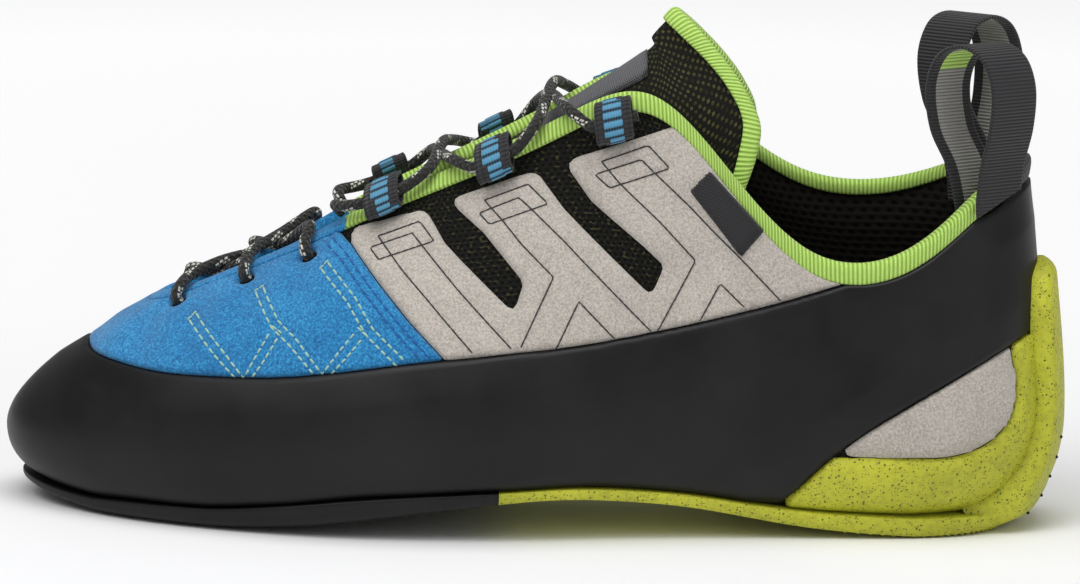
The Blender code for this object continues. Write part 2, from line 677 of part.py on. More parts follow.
SPLIT_STATION = 7.0
LACE_HOLES = (
    # along the shoe, how far down the wall from the rim
    (-0.3188 * LENGTH, 7.5 * MM), (-0.2609 * LENGTH, 8.0 * MM), (-0.2054 * LENGTH, 8.5 * MM),
)
HOLE_RADIUS = 2.2 * MM


def rim_station(x, side):
    """The station at which the rim passes a given place along the shoe."""
    low, high = 1.5, ROUND / 2
    for _ in range(40):
        middle = (low + high) / 2
        if rim_point(middle)[0] < x:
            low = middle
        else:
            high = middle
    return low if side < 0 else ROUND - low


def wall_place(station, down):
    """A point of the outer face a given way below the rim, its outward normal and its rising direction."""
    lower, upper = wall(station)
    steps = np.linalg.norm(np.diff(upper, axis=0), axis=1)
    length = np.concatenate([[0.0], np.cumsum(steps)])

    def point(at_station, back):
        line = wall(at_station)[1]
        run = np.concatenate([[0.0], np.cumsum(np.linalg.norm(np.diff(line, axis=0), axis=1))])
        return np.array([np.interp(run[-1] - back, run, line[:, i]) for i in range(3)])

    here = point(station, down)
    rising = point(station, max(0.0, down - 0.5 * MM)) - point(station, down + 0.5 * MM)
    along = point(station + 0.05, down) - point(station - 0.05, down)
    rising /= np.linalg.norm(rising)
    normal = np.cross(along, rising)
    normal /= np.linalg.norm(normal)
    along /= np.linalg.norm(along)
    return here, normal, rising, along


def hole_cutter(place, side):
    x, down = place
    here, normal, rising, along = wall_place(rim_station(x, side), down)
    return rod(here - normal * 6 * MM, here + normal * 4 * MM, HOLE_RADIUS, 10)


def rod(start, end, radius, sides):
    axis = (end - start) / np.linalg.norm(end - start)
    spare = np.array([1.0, 0.0, 0.0]) if abs(axis[0]) < 0.8 else np.array([0.0, 1.0, 0.0])
    first = np.cross(axis, spare)
    first /= np.linalg.norm(first)
    second = np.cross(axis, first)
    vertices = []
    for end_point in (start, end):
        for i in range(sides):
            angle = 2 * np.pi * i / sides
            vertices.append(end_point + (first * np.cos(angle) + second * np.sin(angle)) * radius)
    faces = [tuple(range(sides - 1, -1, -1)), tuple(range(sides, 2 * sides))]
    for i in range(sides):
        k = (i + 1) % sides
        faces.append((i, k, sides + k, sides + i))
    item = finish_mesh("rod", vertices, faces, "rubber")
    settle(item)
    return item


TONGUE_TABLE = (
    # station of the rim, how far the middle stands above the edges of the slit
    (2.0, 0.5 * MM), (3.0, 1.0 * MM), (4.0, 1.5 * MM), (5.0, 2.0 * MM), (6.0, 2.5 * MM), (7.0, 3.5 * MM), (8.0, 6.5 * MM),
    (9.0, 13.0 * MM),
)
TONGUE_TOP_TABLE = (
    # two free sections of the tongue's top: edge, shoulder, crown and middle, each (x, y, z) in shares of INSTEP_HEIGHT
    ((0.388, 0.160, 0.775), (0.385, 0.148, 0.945), (0.325, 0.086, 1.047), (0.255, 0.0, 1.109)),
    ((0.460, 0.156, 0.783), (0.490, 0.147, 0.931), (0.408, 0.088, 1.067), (0.306, 0.0, 1.166)),
)
LOOP_PLACES = ((-0.1341 * LENGTH, 3.2 * MM), (-0.0355 * LENGTH, 4.2 * MM), (0.0696 * LENGTH, 6.8 * MM))  # along the shoe, down from the rim
PULL_LOOP_TABLE = (
    # out from the rim, up from the rim, down the wall, back along it: the band's path from its outer foot to its inner foot
    (3.4, 0.0, 11.0, 0.0), (3.2, 0.0, 4.0, 0.0), (4.2, 6.0, 0.0, 0.0), (7.2, 16.0, 0.0, 0.0), (8.8, 26.5, 0.0, -1.0),
    (6.6, 34.4, 0.0, -2.8), (0.6, 37.6, 0.0, -5.0), (-5.8, 35.0, 0.0, -7.2), (-9.4, 26.5, 0.0, -8.0), (-9.6, 15.0, 0.0, -6.0),
    (-7.4, 5.0, 0.0, -2.0), (-6.6, 0.0, 5.0, 0.0), (-6.6, 0.0, 12.0, 0.0),
)
PULL_LOOP_WIDTH = 15.0 * MM
WORLD_UP = np.array([0.0, 0.0, 1.0])


def unit(vector):
    return vector / np.linalg.norm(vector)


def soften(points, steps):
    """A smooth curve through points, with a number of steps to each span."""
    points = np.array(points, float)
    padded = np.concatenate([[2 * points[0] - points[1]], points, [2 * points[-1] - points[-2]]])
    curve = []
    for i in range(1, len(padded) - 2):
        a, b, c, d = padded[i - 1:i + 3]
        for step in range(steps):
            t = step / steps
            curve.append(0.5 * (2 * b + (c - a) * t + (2 * a - 5 * b + 4 * c - d) * t * t + (3 * b - a - 3 * c + d) * t**3))
    curve.append(padded[-2])
    return np.array(curve)


def tongue_grid():
    """The tongue's front face, [row, column, xyz]: under the throat's edges, then free above them."""
    deep = UPPER_WALL + 2 * CLEARANCE + BINDING_THICKNESS + 0.5 * MM
    rows = []
    for station, arch in TONGUE_TABLE:
        near, far = [], []
        for down in (0.1327 * INSTEP_HEIGHT, 0.0796 * INSTEP_HEIGHT, 0.0265 * INSTEP_HEIGHT):
            for side, line in ((-1, near), (1, far)):
                here, normal, rising, along = wall_place(station if side < 0 else ROUND - station, down)
                line.append(here - normal * deep)
        middle = (near[2] + far[2]) / 2 + WORLD_UP * arch
        rows.append(near + [middle] + far[::-1])
    front = np.array(rows[0])
    centre = front[:, 1].mean()
    tip = front * (1.0, 0.62, 1.0) + (-11.0 * MM, 0.38 * centre, -6.5 * MM)
    rows.insert(0, list(tip))
    for section in TONGUE_TOP_TABLE:
        half = np.array(section) * INSTEP_HEIGHT
        rows.append([p * (1, -1, 1) for p in half[:3]] + [half[3]] + [p for p in half[:3][::-1]])
    rows = soften(np.array(rows), 2)
    columns = soften(np.swapaxes(rows, 0, 1), 2)
    return np.swapaxes(columns, 0, 1)


def sheet_normals(grid):
    down = np.gradient(grid, axis=0)
    across = np.gradient(grid, axis=1)
    normals = np.cross(down, across)
    return normals / np.linalg.norm(normals, axis=2)[:, :, None]


def make_tongue():
    """Padded tongue with a tape round its free end and a bare woven label on its face."""
    grid = tongue_grid()
    normals = sheet_normals(grid)
    shell("tongue", grid - normals * TONGUE_THICKNESS, grid, "knit", closed=False)
    span = grid[-1] - grid[-2]
    rising = span / np.linalg.norm(span, axis=1)[:, None]
    slack = 1.6 * CLEARANCE
    out, inside = slack + BINDING_THICKNESS, -TONGUE_THICKNESS - slack - BINDING_THICKNESS
    over = CLEARANCE + BINDING_THICKNESS
    section = (
        (out, 0.0, 0.0), (out, 1.0, 0.0), (out - 0.7 * MM, 1.0, over), (inside + 0.7 * MM, 1.0, over), (inside, 1.0, 0.0),
        (inside, 0.0, 0.0), (-TONGUE_THICKNESS - slack, 0.0, 0.0), (-TONGUE_THICKNESS - slack, 1.0, CLEARANCE),
        (slack, 1.0, CLEARANCE), (slack, 0.0, 0.0),
    )
    folded_tape("tongue_binding", grid[-1] - rising * BINDING_HEIGHT * 0.85, grid[-1], normals[-1], normals[-1],
                section, "binding", False)
    middle = grid.shape[1] // 2
    patch = (slice(15, 18), slice(middle - 1, middle + 2))
    shell("tongue_label", grid[patch] + normals[patch] * CLEARANCE,
          grid[patch] + normals[patch] * (CLEARANCE + TAB_THICKNESS), "label", closed=False)


def loop_place(place, side):
    """Middle of a lace loop's tunnel, with the directions out, up the wall and along the throat."""
    x, down = place
    here, normal, rising, along = wall_place(rim_station(x, side), down)
    along = along * (1 if along[0] > 0 else -1)
    centre = here + normal * (2 * CLEARANCE + VAMP_THICKNESS + 3.2 * MM)
    return centre, normal, rising, along


def make_lace_loop(name, place, side):
    """Folded webbing that holds the lace against the throat's edge."""
    centre, normal, rising, along = loop_place(place, side)
    vertices, faces = [], []
    count = 12
    for end in (-4.8 * MM, 4.8 * MM):
        for trim in (0.0, WEBBING_THICKNESS):
            for i in range(count):
                angle = 2 * np.pi * i / count
                high = (5.6 * MM - trim) * np.cos(angle)
                out = (3.1 * MM - trim) * np.sin(angle)
                vertices.append(centre + along * end + rising * high + normal * out)
    for i in range(count):
        k = (i + 1) % count
        faces += [(i, k, 2 * count + k, 2 * count + i), (count + k, count + i, 3 * count + i, 3 * count + k)]
        faces += [(k, i, count + i, count + k), (2 * count + i, 2 * count + k, 3 * count + k, 3 * count + i)]
    item = finish_mesh(name, vertices, faces, "keeper")
    settle(item)


def tube(name, points, radius, sides=8):
    """A round cord along a curve."""
    points = np.array(points)
    steps = np.gradient(points, axis=0)
    steps /= np.linalg.norm(steps, axis=1)[:, None]
    side = unit(np.cross(steps[0], WORLD_UP))
    vertices = []
    for point, step in zip(points, steps):
        side = unit(side - step * np.dot(side, step))
        lift = np.cross(step, side)
        for i in range(sides):
            angle = 2 * np.pi * i / sides
            vertices.append(point + (side * np.cos(angle) + lift * np.sin(angle)) * radius)
    faces = [tuple(range(sides)), tuple(len(vertices) - 1 - i for i in range(sides))]
    for j in range(len(points) - 1):
        for i in range(sides):
            k = (i + 1) % sides
            faces.append((j * sides + i, j * sides + k, (j + 1) * sides + k, (j + 1) * sides + i))
    item = finish_mesh(name, vertices, faces, "lace")
    settle(item)
    return item


def hole_start(number, side):
    """Path of a lace end out of its hole and over the tape."""
    x, down = LACE_HOLES[number]
    station = rim_station(x, side)
    here, normal, rising, along = wall_place(station, down)
    edge, edge_normal, edge_rising, edge_along = wall_place(station, 0.0)
    over = CLEARANCE * 2 + VAMP_THICKNESS + LACE_WIDTH / 2
    return [here + normal * 0.5 * MM, here + normal * 2.4 * MM, here + normal * (over + 0.2 * MM) + rising * 3.0 * MM,
            edge + edge_normal * (over + 0.1 * MM) + edge_rising * 0.5 * MM]


def under_edge(x, side):
    """A place in the slit beside the tape, where a lace dips below the far edge."""
    edge, normal, rising, along = wall_place(rim_station(x, side), 0.0)
    return edge + rising * (CLEARANCE * 2 + BINDING_THICKNESS + LACE_WIDTH / 2 + 0.4 * MM) + normal * 0.6 * MM


def crossed(name, first, second, lift, gap=1.3 * MM):
    """Two strands that cross over the tongue, joined where they touch."""
    strands = []
    for points, height in ((first, lift + gap), (second, lift - gap)):
        start, end = points
        middle = (start[-1] + end[0]) / 2 + WORLD_UP * height
        strands.append(soften(start + [middle] + end, 2))
    item = tube(name, strands[0], LACE_WIDTH / 2)
    other = tube(name + "_under", strands[1], LACE_WIDTH / 2)
    join(item, other)
    settle(item)


def loop_exit(place, side, way):
    """From the middle of a lace loop out of one of its ends."""
    centre, normal, rising, along = loop_place(place, side)
    points = [centre + along * way * far for far in (0.2 * MM, 2.5 * MM, 4.8 * MM, 6.2 * MM)]
    return points


def curve(first, second, third, last, steps):
    """A smooth line from first to last that leaves toward second and arrives from third."""
    t = np.linspace(0, 1, steps)[:, None]
    return (1 - t) ** 3 * first + 3 * (1 - t) ** 2 * t * second + 3 * (1 - t) * t**2 * third + t**3 * last


def over_edge(x, side):
    edge, normal, rising, along = wall_place(rim_station(x, side), 0.0)
    return edge + normal * (CLEARANCE * 2 + BINDING_THICKNESS + LACE_WIDTH / 2 + 0.6 * MM) + rising * 1.4 * MM


def make_laces():
    for name, side in (("outer", -1), ("inner", 1)):
        for number, place in enumerate(LOOP_PLACES):
            make_lace_loop("lace_loop_%d_%s_side" % (number + 1, name), place, side)
        edge = under_edge(-0.1820 * LENGTH, side)
        lift = wall_place(rim_station(-0.1820 * LENGTH, side), 0.0)[1]
        centre, normal, rising, along = loop_place(LOOP_PLACES[0], side)
        run = curve(edge, edge + lift * 7.0 * MM, centre - along * 14.0 * MM, centre - along * 0.2 * MM, 12)
        tube("lace_lead_%s_side" % name, run, LACE_WIDTH / 2)
        ends = loop_exit(LOOP_PLACES[2], side, 1)
        tube("lace_end_%s_side" % name, soften(ends, 2), LACE_WIDTH / 2)
    crossed("lace_crossing_1", (hole_start(0, -1), [under_edge(-0.2717 * LENGTH, 1)]), (hole_start(0, 1), [under_edge(-0.2717 * LENGTH, -1)]), -0.6 * MM)
    crossed("lace_crossing_2", (hole_start(1, -1), hole_start(2, 1)[::-1]), (hole_start(1, 1), hole_start(2, -1)[::-1]), -1.4 * MM)
    for number, lift in ((0, 1.4 * MM), (1, 3.6 * MM)):
        pair = []
        for side in (-1, 1):
            start, stop = LOOP_PLACES[number], LOOP_PLACES[number + 1]
            first = loop_exit(start, side, 1) + [over_edge(start[0] + 0.0399 * LENGTH, side)]
            second = [over_edge(stop[0] - 0.0399 * LENGTH, -side)] + loop_exit(stop, -side, -1)[::-1]
            pair.append((first, second))
        crossed("lace_crossing_%d" % (number + 3), pair[0], pair[1], lift)


def make_pull_loop(name, side):
    """Woven band sewn outside and inside the back of the collar."""
    station = rim_station(0.4203 * LENGTH, side)
    path = []
    for out, up, down, back in PULL_LOOP_TABLE:
        here, normal, rising, along = wall_place(station, down * MM)
        level = unit(np.array([normal[0], normal[1], 0.0]))
        heelward = unit(np.array([abs(along[0]), along[1] * np.sign(along[0]), 0.0]))
        path.append(here + level * out * MM + WORLD_UP * up * MM + heelward * back * MM)
    path = soften(path, 2)
    width = unit(np.array([along[0], along[1], 0.0])) * PULL_LOOP_WIDTH / 2
    steps = np.gradient(path, axis=0)
    out = np.cross(steps, width)
    out /= np.linalg.norm(out, axis=1)[:, None]
    inner = np.stack([path - width, path + width], axis=1)
    outer = inner + out[:, None] * WEBBING_THICKNESS
    band = shell(name, inner, outer, "webbing", closed=False)
    keep(band, prism(above_line(beside(in_metres(RAND_TOP_LINE), CLEARANCE))))


def make_side_tab():
    inner = 2 * CLEARANCE + PANEL_THICKNESS
    rows = slice(TURN_ROWS, BINDING_ROW + 1)
    tab = shell("side_tab", layer(inner, rows=rows), layer(inner + TAB_THICKNESS, rows=rows), "webbing")
    keep(tab, prism(in_metres(SIDE_TAB_LINE), low=-SIDEWAYS, high=0.0))


for item in list(bpy.data.objects):
    bpy.data.objects.remove(item, do_unlink=True)

make_upper()
make_vamp()
make_quarter("quarter_outer_side", -1)
make_quarter("quarter_inner_side", 1)
make_rand()
make_heel_rand()
make_heel_panel("heel_panel_outer_side", -1)
make_heel_panel("heel_panel_inner_side", 1)
make_front_sole()
make_rear_sole()
make_insole()
make_binding()
make_tongue()
make_laces()
make_side_tab()
make_pull_loop("pull_loop_outer_side", -1)
make_pull_loop("pull_loop_inner_side", 1)
for item in bpy.data.objects:
    settle(item)

corners = np.array([v.co for item in bpy.data.objects for v in item.data.vertices])
middle = (corners.min(axis=0) + corners.max(axis=0)) / 2
shift = np.array([middle[0], middle[1], corners[:, 2].min()])
for item in bpy.data.objects:
    for vertex in item.data.vertices:
        vertex.co = np.array(vertex.co) - shift
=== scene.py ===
"""Dresses the left climbing shoe: suede, mesh, rubber, tape, webbing and lace over the shoe's own solids."""

import math

import bmesh
import bpy
import numpy as np
from mathutils import Matrix, Vector
from mathutils.bvhtree import BVHTree


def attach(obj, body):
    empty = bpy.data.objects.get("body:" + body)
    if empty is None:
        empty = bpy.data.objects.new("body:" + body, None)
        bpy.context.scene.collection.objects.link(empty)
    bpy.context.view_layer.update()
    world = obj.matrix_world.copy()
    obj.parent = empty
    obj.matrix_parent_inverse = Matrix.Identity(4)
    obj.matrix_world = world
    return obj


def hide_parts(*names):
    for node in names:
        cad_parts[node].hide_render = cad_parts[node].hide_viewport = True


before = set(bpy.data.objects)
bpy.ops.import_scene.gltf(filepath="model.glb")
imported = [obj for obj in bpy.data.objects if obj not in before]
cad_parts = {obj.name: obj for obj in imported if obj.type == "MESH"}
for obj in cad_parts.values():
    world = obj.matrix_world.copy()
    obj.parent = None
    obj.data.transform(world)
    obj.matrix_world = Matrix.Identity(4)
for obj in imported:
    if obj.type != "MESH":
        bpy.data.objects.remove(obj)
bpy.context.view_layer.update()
MM = 0.001


# Upper.
# The knitted form shows in the slots, at the lace holes and inside. Its
# outside is one sheet, and the padded lining is another.

# The same sizes and section tables that the solids are made from, so every
# sheet here lies on its solid.
LENGTH = 276.0 * MM

BALL_WIDTH = 93.6 * MM
INSTEP_HEIGHT = 113.0 * MM
BELLY_HEIGHT = 40.0 * MM
ARCH_HEIGHT = 10.6 * MM
CLEARANCE = 0.3 * MM
UPPER_WALL = 2.2 * MM
RAND_THICKNESS = 2.0 * MM
FRONT_SOLE_THICKNESS = 5.4 * MM
REAR_SOLE_THICKNESS = 5.4 * MM
HEEL_WRAP_THICKNESS = 4.4 * MM

# One row for each section of the upper, from the toe tip to the back of the heel.
# along: share of the upper's length. outer, inner: where the wall is widest, as shares of half the ball width.
# widest: height of that line, share of BELLY_HEIGHT. tuck: how far the bottom edge lies inside it, share of BALL_WIDTH.
# camber: underside of the sole, share of ARCH_HEIGHT. sole: outsole thickness, share of its zone's own.
FORM_COLUMNS = ("along", "outer", "inner", "widest", "tuck", "camber", "sole")
FORM_TABLE = (
    (0.000, 0.27, 0.27, 0.46, 0.075, 0.34, 0.62),
    (0.012, 0.02, 0.545, 0.46, 0.070, 0.29, 0.62),
    (0.045, -0.21, 0.73, 0.47, 0.060, 0.12, 0.70),
    (0.105, -0.475, 0.87, 0.50, 0.040, -0.04, 0.88),
    (0.180, -0.695, 0.945, 0.52, 0.034, -0.03, 1.00),
    (0.270, -0.872, 0.955, 0.54, 0.032, 0.13, 1.20),
    (0.360, -0.965, 0.90, 0.58, 0.032, 0.44, 1.16),
    (0.478, -0.965, 0.775, 0.62, 0.032, 0.88, 0.71),
    (0.560, -0.890, 0.69, 0.66, 0.034, 1.00, 0.62),
    (0.660, -0.785, 0.635, 0.70, 0.040, 0.78, 0.66),
    (0.760, -0.712, 0.645, 0.80, 0.052, 0.30, 0.82),
    (0.850, -0.678, 0.675, 0.92, 0.075, 0.05, 0.96),
    (0.920, -0.610, 0.620, 1.02, 0.105, -0.06, 1.00),
    (0.968, -0.440, 0.450, 1.06, 0.135, -0.05, 1.00),
    (0.992, -0.232, 0.242, 1.08, 0.148, 0.00, 1.00),
    (1.000, 0.005, 0.005, 1.08, 0.150, 0.00, 1.00),
)

# The top edge of the upper at the same sections: the throat from its front end back, then the collar.
# along: share of the upper's length. outer, inner: sideways, shares of half the ball width.
# outer_height, inner_height: shares of INSTEP_HEIGHT. slope: how steeply the wall arrives there, in degrees.
# reach: how far that slope holds, share of BALL_WIDTH. rise: how far the wall stands up from its widest line, likewise.
RIM_COLUMNS = ("along", "outer", "inner", "outer_height", "inner_height", "slope", "reach", "rise")
RIM_TABLE = (
    (0.148, 0.110, 0.110, 0.484, 0.484, 30.0, 0.21, 0.10),
    (0.151, 0.050, 0.170, 0.487, 0.487, 29.0, 0.20, 0.105),
    (0.160, 0.005, 0.210, 0.495, 0.495, 25.0, 0.19, 0.12),
    (0.180, -0.020, 0.225, 0.510, 0.510, 21.0, 0.21, 0.14),
    (0.218, -0.055, 0.250, 0.550, 0.550, 20.0, 0.25, 0.17),
    (0.275, -0.115, 0.280, 0.612, 0.612, 24.0, 0.27, 0.18),
    (0.350, -0.235, 0.320, 0.715, 0.715, 36.0, 0.28, 0.18),
    (0.440, -0.315, 0.345, 0.820, 0.820, 50.0, 0.28, 0.19),
    (0.530, -0.395, 0.400, 0.930, 0.930, 62.0, 0.27, 0.20),
    (0.612, -0.450, 0.445, 0.990, 1.004, 72.0, 0.26, 0.22),
    (0.690, -0.515, 0.505, 0.827, 0.890, 80.0, 0.22, 0.21),
    (0.775, -0.570, 0.560, 0.639, 0.761, 86.0, 0.16, 0.18),
    (0.865, -0.545, 0.540, 0.651, 0.755, 90.0, 0.14, 0.18),
    (0.932, -0.405, 0.410, 0.774, 0.812, 93.0, 0.14, 0.20),
    (0.970, -0.210, 0.220, 0.828, 0.836, 96.0, 0.14, 0.22),
    (0.981, 0.005, 0.005, 0.845, 0.845, 97.0, 0.14, 0.22),
)

ROWS = len(FORM_TABLE) - 1
ROUND = 2 * ROWS
WORLD_UP = np.array([0.0, 0.0, 1.0])


def closed_spline(values):
    """Second derivatives of the smooth closed curve through values, one unit apart."""
    count = len(values)
    system = np.zeros((count, count))
    for i in range(count):
        system[i, i] = 4.0
        system[i, (i - 1) % count] = 1.0
        system[i, (i + 1) % count] = 1.0
    bends = 6.0 * (np.roll(values, 1) - 2.0 * values + np.roll(values, -1))
    return np.linalg.solve(system, bends)


def round_the_shoe(table, columns, outer, inner):
    """One closed column of values: down the outer side from the toe to the heel, then back up the inner side."""
    out = [row[columns.index(outer)] for row in table]
    back = [row[columns.index(inner)] for row in table]
    values = np.array(out + back[-2:0:-1], float)
    return values, closed_spline(values)


FORM = {name: round_the_shoe(FORM_TABLE, FORM_COLUMNS, name, name) for name in FORM_COLUMNS}
FORM["side"] = round_the_shoe(FORM_TABLE, FORM_COLUMNS, "outer", "inner")
RIM = {name: round_the_shoe(RIM_TABLE, RIM_COLUMNS, name, name) for name in RIM_COLUMNS}
RIM["side"] = round_the_shoe(RIM_TABLE, RIM_COLUMNS, "outer", "inner")
RIM["height"] = round_the_shoe(RIM_TABLE, RIM_COLUMNS, "outer_height", "inner_height")


def read(column, station):
    """The value of a closed column at a station, which runs from 0 at the toe tip to ROUND back at it."""
    values, bends = column
    low = int(np.floor(station)) % len(values)
    high = (low + 1) % len(values)
    b = station % 1.0
    a = 1.0 - b
    return a * values[low] + b * values[high] + ((a**3 - a) * bends[low] + (b**3 - b) * bends[high]) / 6.0


def unit(vectors):
    """Each vector at length one."""
    return vectors / np.linalg.norm(vectors, axis=-1, keepdims=True)


def run_along(points):
    """The way from the first of a row of points to each of them."""
    return np.concatenate([[0.0], np.cumsum(np.linalg.norm(np.diff(points, axis=0), axis=1))])


def at_stops(stops, run, points):
    """Places on a line of points, at stops counted as its run is."""
    return np.column_stack([np.interp(stops, run, points[:, i]) for i in range(points.shape[1])])


TOE_X = -LENGTH / 2 + CLEARANCE + RAND_THICKNESS
HEEL_X = LENGTH / 2 - HEEL_WRAP_THICKNESS - RAND_THICKNESS - 2 * CLEARANCE
UPPER_LENGTH = HEEL_X - TOE_X
HALF_WIDTH = BALL_WIDTH / 2 - CLEARANCE - RAND_THICKNESS
SOLE_SPLIT = 0.475  # share of the upper's length at which the front sole meets the rear one


def outline(station):
    """The widest line of the upper, seen from above."""
    along = TOE_X + read(FORM["along"], station) * UPPER_LENGTH
    return np.array([along, read(FORM["side"], station) * HALF_WIDTH])


def outward(station):
    """The level direction that points away from the foot at a station."""
    step = outline(station + 0.02) - outline(station - 0.02)
    return unit(np.array([step[1], -step[0], 0.0]))


def camber(station):
    """Height of the sole's underside, flat on the floor under the forefoot and the heel."""
    return max(0.0, read(FORM["camber"], station)) * ARCH_HEIGHT


UNDER_LAYERS = RAND_THICKNESS + 2 * CLEARANCE  # the rand, turned under between the upper and the outsole


def smooth_thickness(station):
    """The outsole's thickness, eased across the line where the two soles meet."""
    along = read(FORM["along"], station)
    share = read(FORM["sole"], station)
    ease = np.clip((along - SOLE_SPLIT) / 0.2 + 0.5, 0.0, 1.0)
    return share * (FRONT_SOLE_THICKNESS * (1 - ease) + REAR_SOLE_THICKNESS * ease)


def feather_height(station):
    """Height of the upper's bottom edge."""
    return camber(station) + smooth_thickness(station) + UNDER_LAYERS


def wall(station):
    """The outer face of the upper at a station, as points from the bottom edge up to the rim."""
    flat = outline(station)
    out = outward(station)
    up = WORLD_UP
    widest = np.array([flat[0], flat[1], feather_height(station) + read(FORM["widest"], station) * BELLY_HEIGHT * 0.5])
    bottom = feather_height(station)
    tuck = read(FORM["tuck"], station) * BALL_WIDTH
    turn = np.linspace(0.0, 1.0, 25)[:, None] ** 1.15 * (np.pi / 2)
    lower = widest + out * tuck * (np.sin(turn) - 1.0) - up * (widest[2] - bottom) * np.cos(turn)
    rim = rim_point(station)
    slope = np.radians(read(RIM["slope"], station))
    reach = read(RIM["reach"], station) * BALL_WIDTH
    rise = read(RIM["rise"], station) * BALL_WIDTH
    first = widest + up * rise
    second = rim + (out * np.cos(slope) - up * np.sin(slope)) * reach
    t = np.linspace(0.0, 1.0, 61)[:, None]
    upper = (1 - t) ** 3 * widest + 3 * (1 - t) ** 2 * t * first + 3 * (1 - t) * t**2 * second + t**3 * rim
    return lower, upper


def rim_point(station):
    along = TOE_X + read(RIM["along"], station) * UPPER_LENGTH
    side = read(RIM["side"], station) * HALF_WIDTH
    return np.array([along, side, read(RIM["height"], station) * INSTEP_HEIGHT])


# Points a millimetre or so apart over the whole upper, with the way round and
# the way up at each for the weaves to follow.
TURN_STEPS = 14
SIDE_STEPS = 74


def even_stations(count):
    """Stations an even way apart round the widest line."""
    fine = np.linspace(0, ROUND, 1501)
    line = np.array([outline(s % ROUND) for s in fine])
    run = run_along(line)
    stops = np.linspace(0, run[-1], count + 1)[:-1]
    return np.interp(stops, run, fine), stops


def net_rows(station):
    lower, upper = wall(station)
    low = at_stops(np.linspace(0, len(lower) - 1, TURN_STEPS + 1), np.arange(len(lower)), lower)
    run = run_along(upper)
    return np.vstack([low, at_stops(np.linspace(0, run[-1], SIDE_STEPS + 1)[1:], run, upper)])


STATIONS, WAY_ROUND = even_stations(540)
NET = np.array([net_rows(s) for s in STATIONS])
ALONG = np.roll(NET, -1, axis=0) - np.roll(NET, 1, axis=0)
RISING = np.gradient(NET, axis=1)
NORMAL = unit(np.cross(ALONG, RISING))
RISING = unit(RISING)
WAY_UP = np.array([run_along(line) for line in NET])
BELOW_RIM = WAY_UP[:, -1:] - WAY_UP
ROUND_MAP = np.repeat(WAY_ROUND[:, None], NET.shape[1], axis=1)
CENTRED = np.array([0.0, 0.414 * MM, 0.0])  # the solids are moved sideways by this, so that the origin is central


def place(name, vertices, faces, material, node=None, uv=None, centred=CENTRED):
    """Put a mesh in the scene, riding on the shoe, in place of its solid."""
    mesh = bpy.data.meshes.new(name)
    mesh.from_pydata([tuple(v + centred) for v in np.asarray(vertices)], [], [tuple(f) for f in faces])
    item = bpy.data.objects.new(name, mesh)
    bpy.context.scene.collection.objects.link(item)
    if uv is not None:
        layer = mesh.uv_layers.new(name="weave")
        corners = np.zeros(len(mesh.loops), dtype=np.int32)
        mesh.loops.foreach_get("vertex_index", corners)
        layer.data.foreach_set("uv", np.array(uv, float)[corners].astype(np.float32).ravel())
    mesh.materials.append(material)
    mesh.shade_smooth()
    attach(item, "root")
    if node:
        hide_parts(*([node] if isinstance(node, str) else node))
    return item


def grid_faces(count, rows, closed=False, turned=False, start=0):
    """Four-cornered faces over points that are stored row by row."""
    faces = []
    for i in range(count if closed else count - 1):
        low, high = start + i * rows, start + (i + 1) % count * rows
        for j in range(rows - 1):
            face = (low + j, high + j, high + j + 1, low + j + 1)
            faces.append(face[::-1] if turned else face)
    return faces


class Signal:
    """A node's output that adds, multiplies and compares the way a number does."""

    def __init__(self, tree, socket):
        self.tree, self.socket = tree, socket

    def step(self, operation, other=None):
        node = self.tree.nodes.new("ShaderNodeMath")
        node.operation = operation
        feed(node.inputs[0], self)
        if other is not None:
            feed(node.inputs[1], other)
        return Signal(self.tree, node.outputs[0])

    def __add__(self, other):
        return self.step("ADD", other)

    def __sub__(self, other):
        return self.step("SUBTRACT", other)

    def __mul__(self, other):
        return self.step("MULTIPLY", other)

    def __lt__(self, other):
        return self.step("LESS_THAN", other)

    def __gt__(self, other):
        return self.step("GREATER_THAN", other)


def feed(socket, value):
    """Give a socket a signal, a colour or a number."""
    if isinstance(value, Signal):
        value.tree.links.new(value.socket, socket)
    else:
        socket.default_value = (*value, 1.0) if isinstance(value, tuple) else value


def shader(name, rgb, roughness, sheen=0.0, gloss=0.35):
    material = bpy.data.materials.new(name)
    material.use_nodes = True
    tree = material.node_tree
    surface = tree.nodes["Principled BSDF"]
    for key, value in (("Base Color", rgb), ("Roughness", roughness), ("Sheen Weight", sheen), ("Sheen Roughness", 0.5),
                       ("Specular IOR Level", gloss)):
        feed(surface.inputs[key], value)
    return material, tree, surface


def coordinates(tree, which="Object", scale=(1, 1, 1)):
    source = tree.nodes.new("ShaderNodeTexCoord")
    mapping = tree.nodes.new("ShaderNodeMapping")
    mapping.inputs["Scale"].default_value = scale
    tree.links.new(source.outputs[which], mapping.inputs["Vector"])
    return Signal(tree, mapping.outputs["Vector"])


def cloth_way(tree, pitch, cross_pitch):
    """The way along and across a piece's own weave, counted in pitches."""
    parts = tree.nodes.new("ShaderNodeSeparateXYZ")
    feed(parts.inputs[0], coordinates(tree, "UV", (1.0 / pitch, 1.0 / cross_pitch, 1.0)))
    return Signal(tree, parts.outputs[0]), Signal(tree, parts.outputs[1])


def noise(vector, scale, detail=4.0, roughness=0.6):
    node = vector.tree.nodes.new("ShaderNodeTexNoise")
    for key, value in (("Vector", vector), ("Scale", scale), ("Detail", detail), ("Roughness", roughness)):
        feed(node.inputs[key], value)
    return Signal(vector.tree, node.outputs["Fac"])


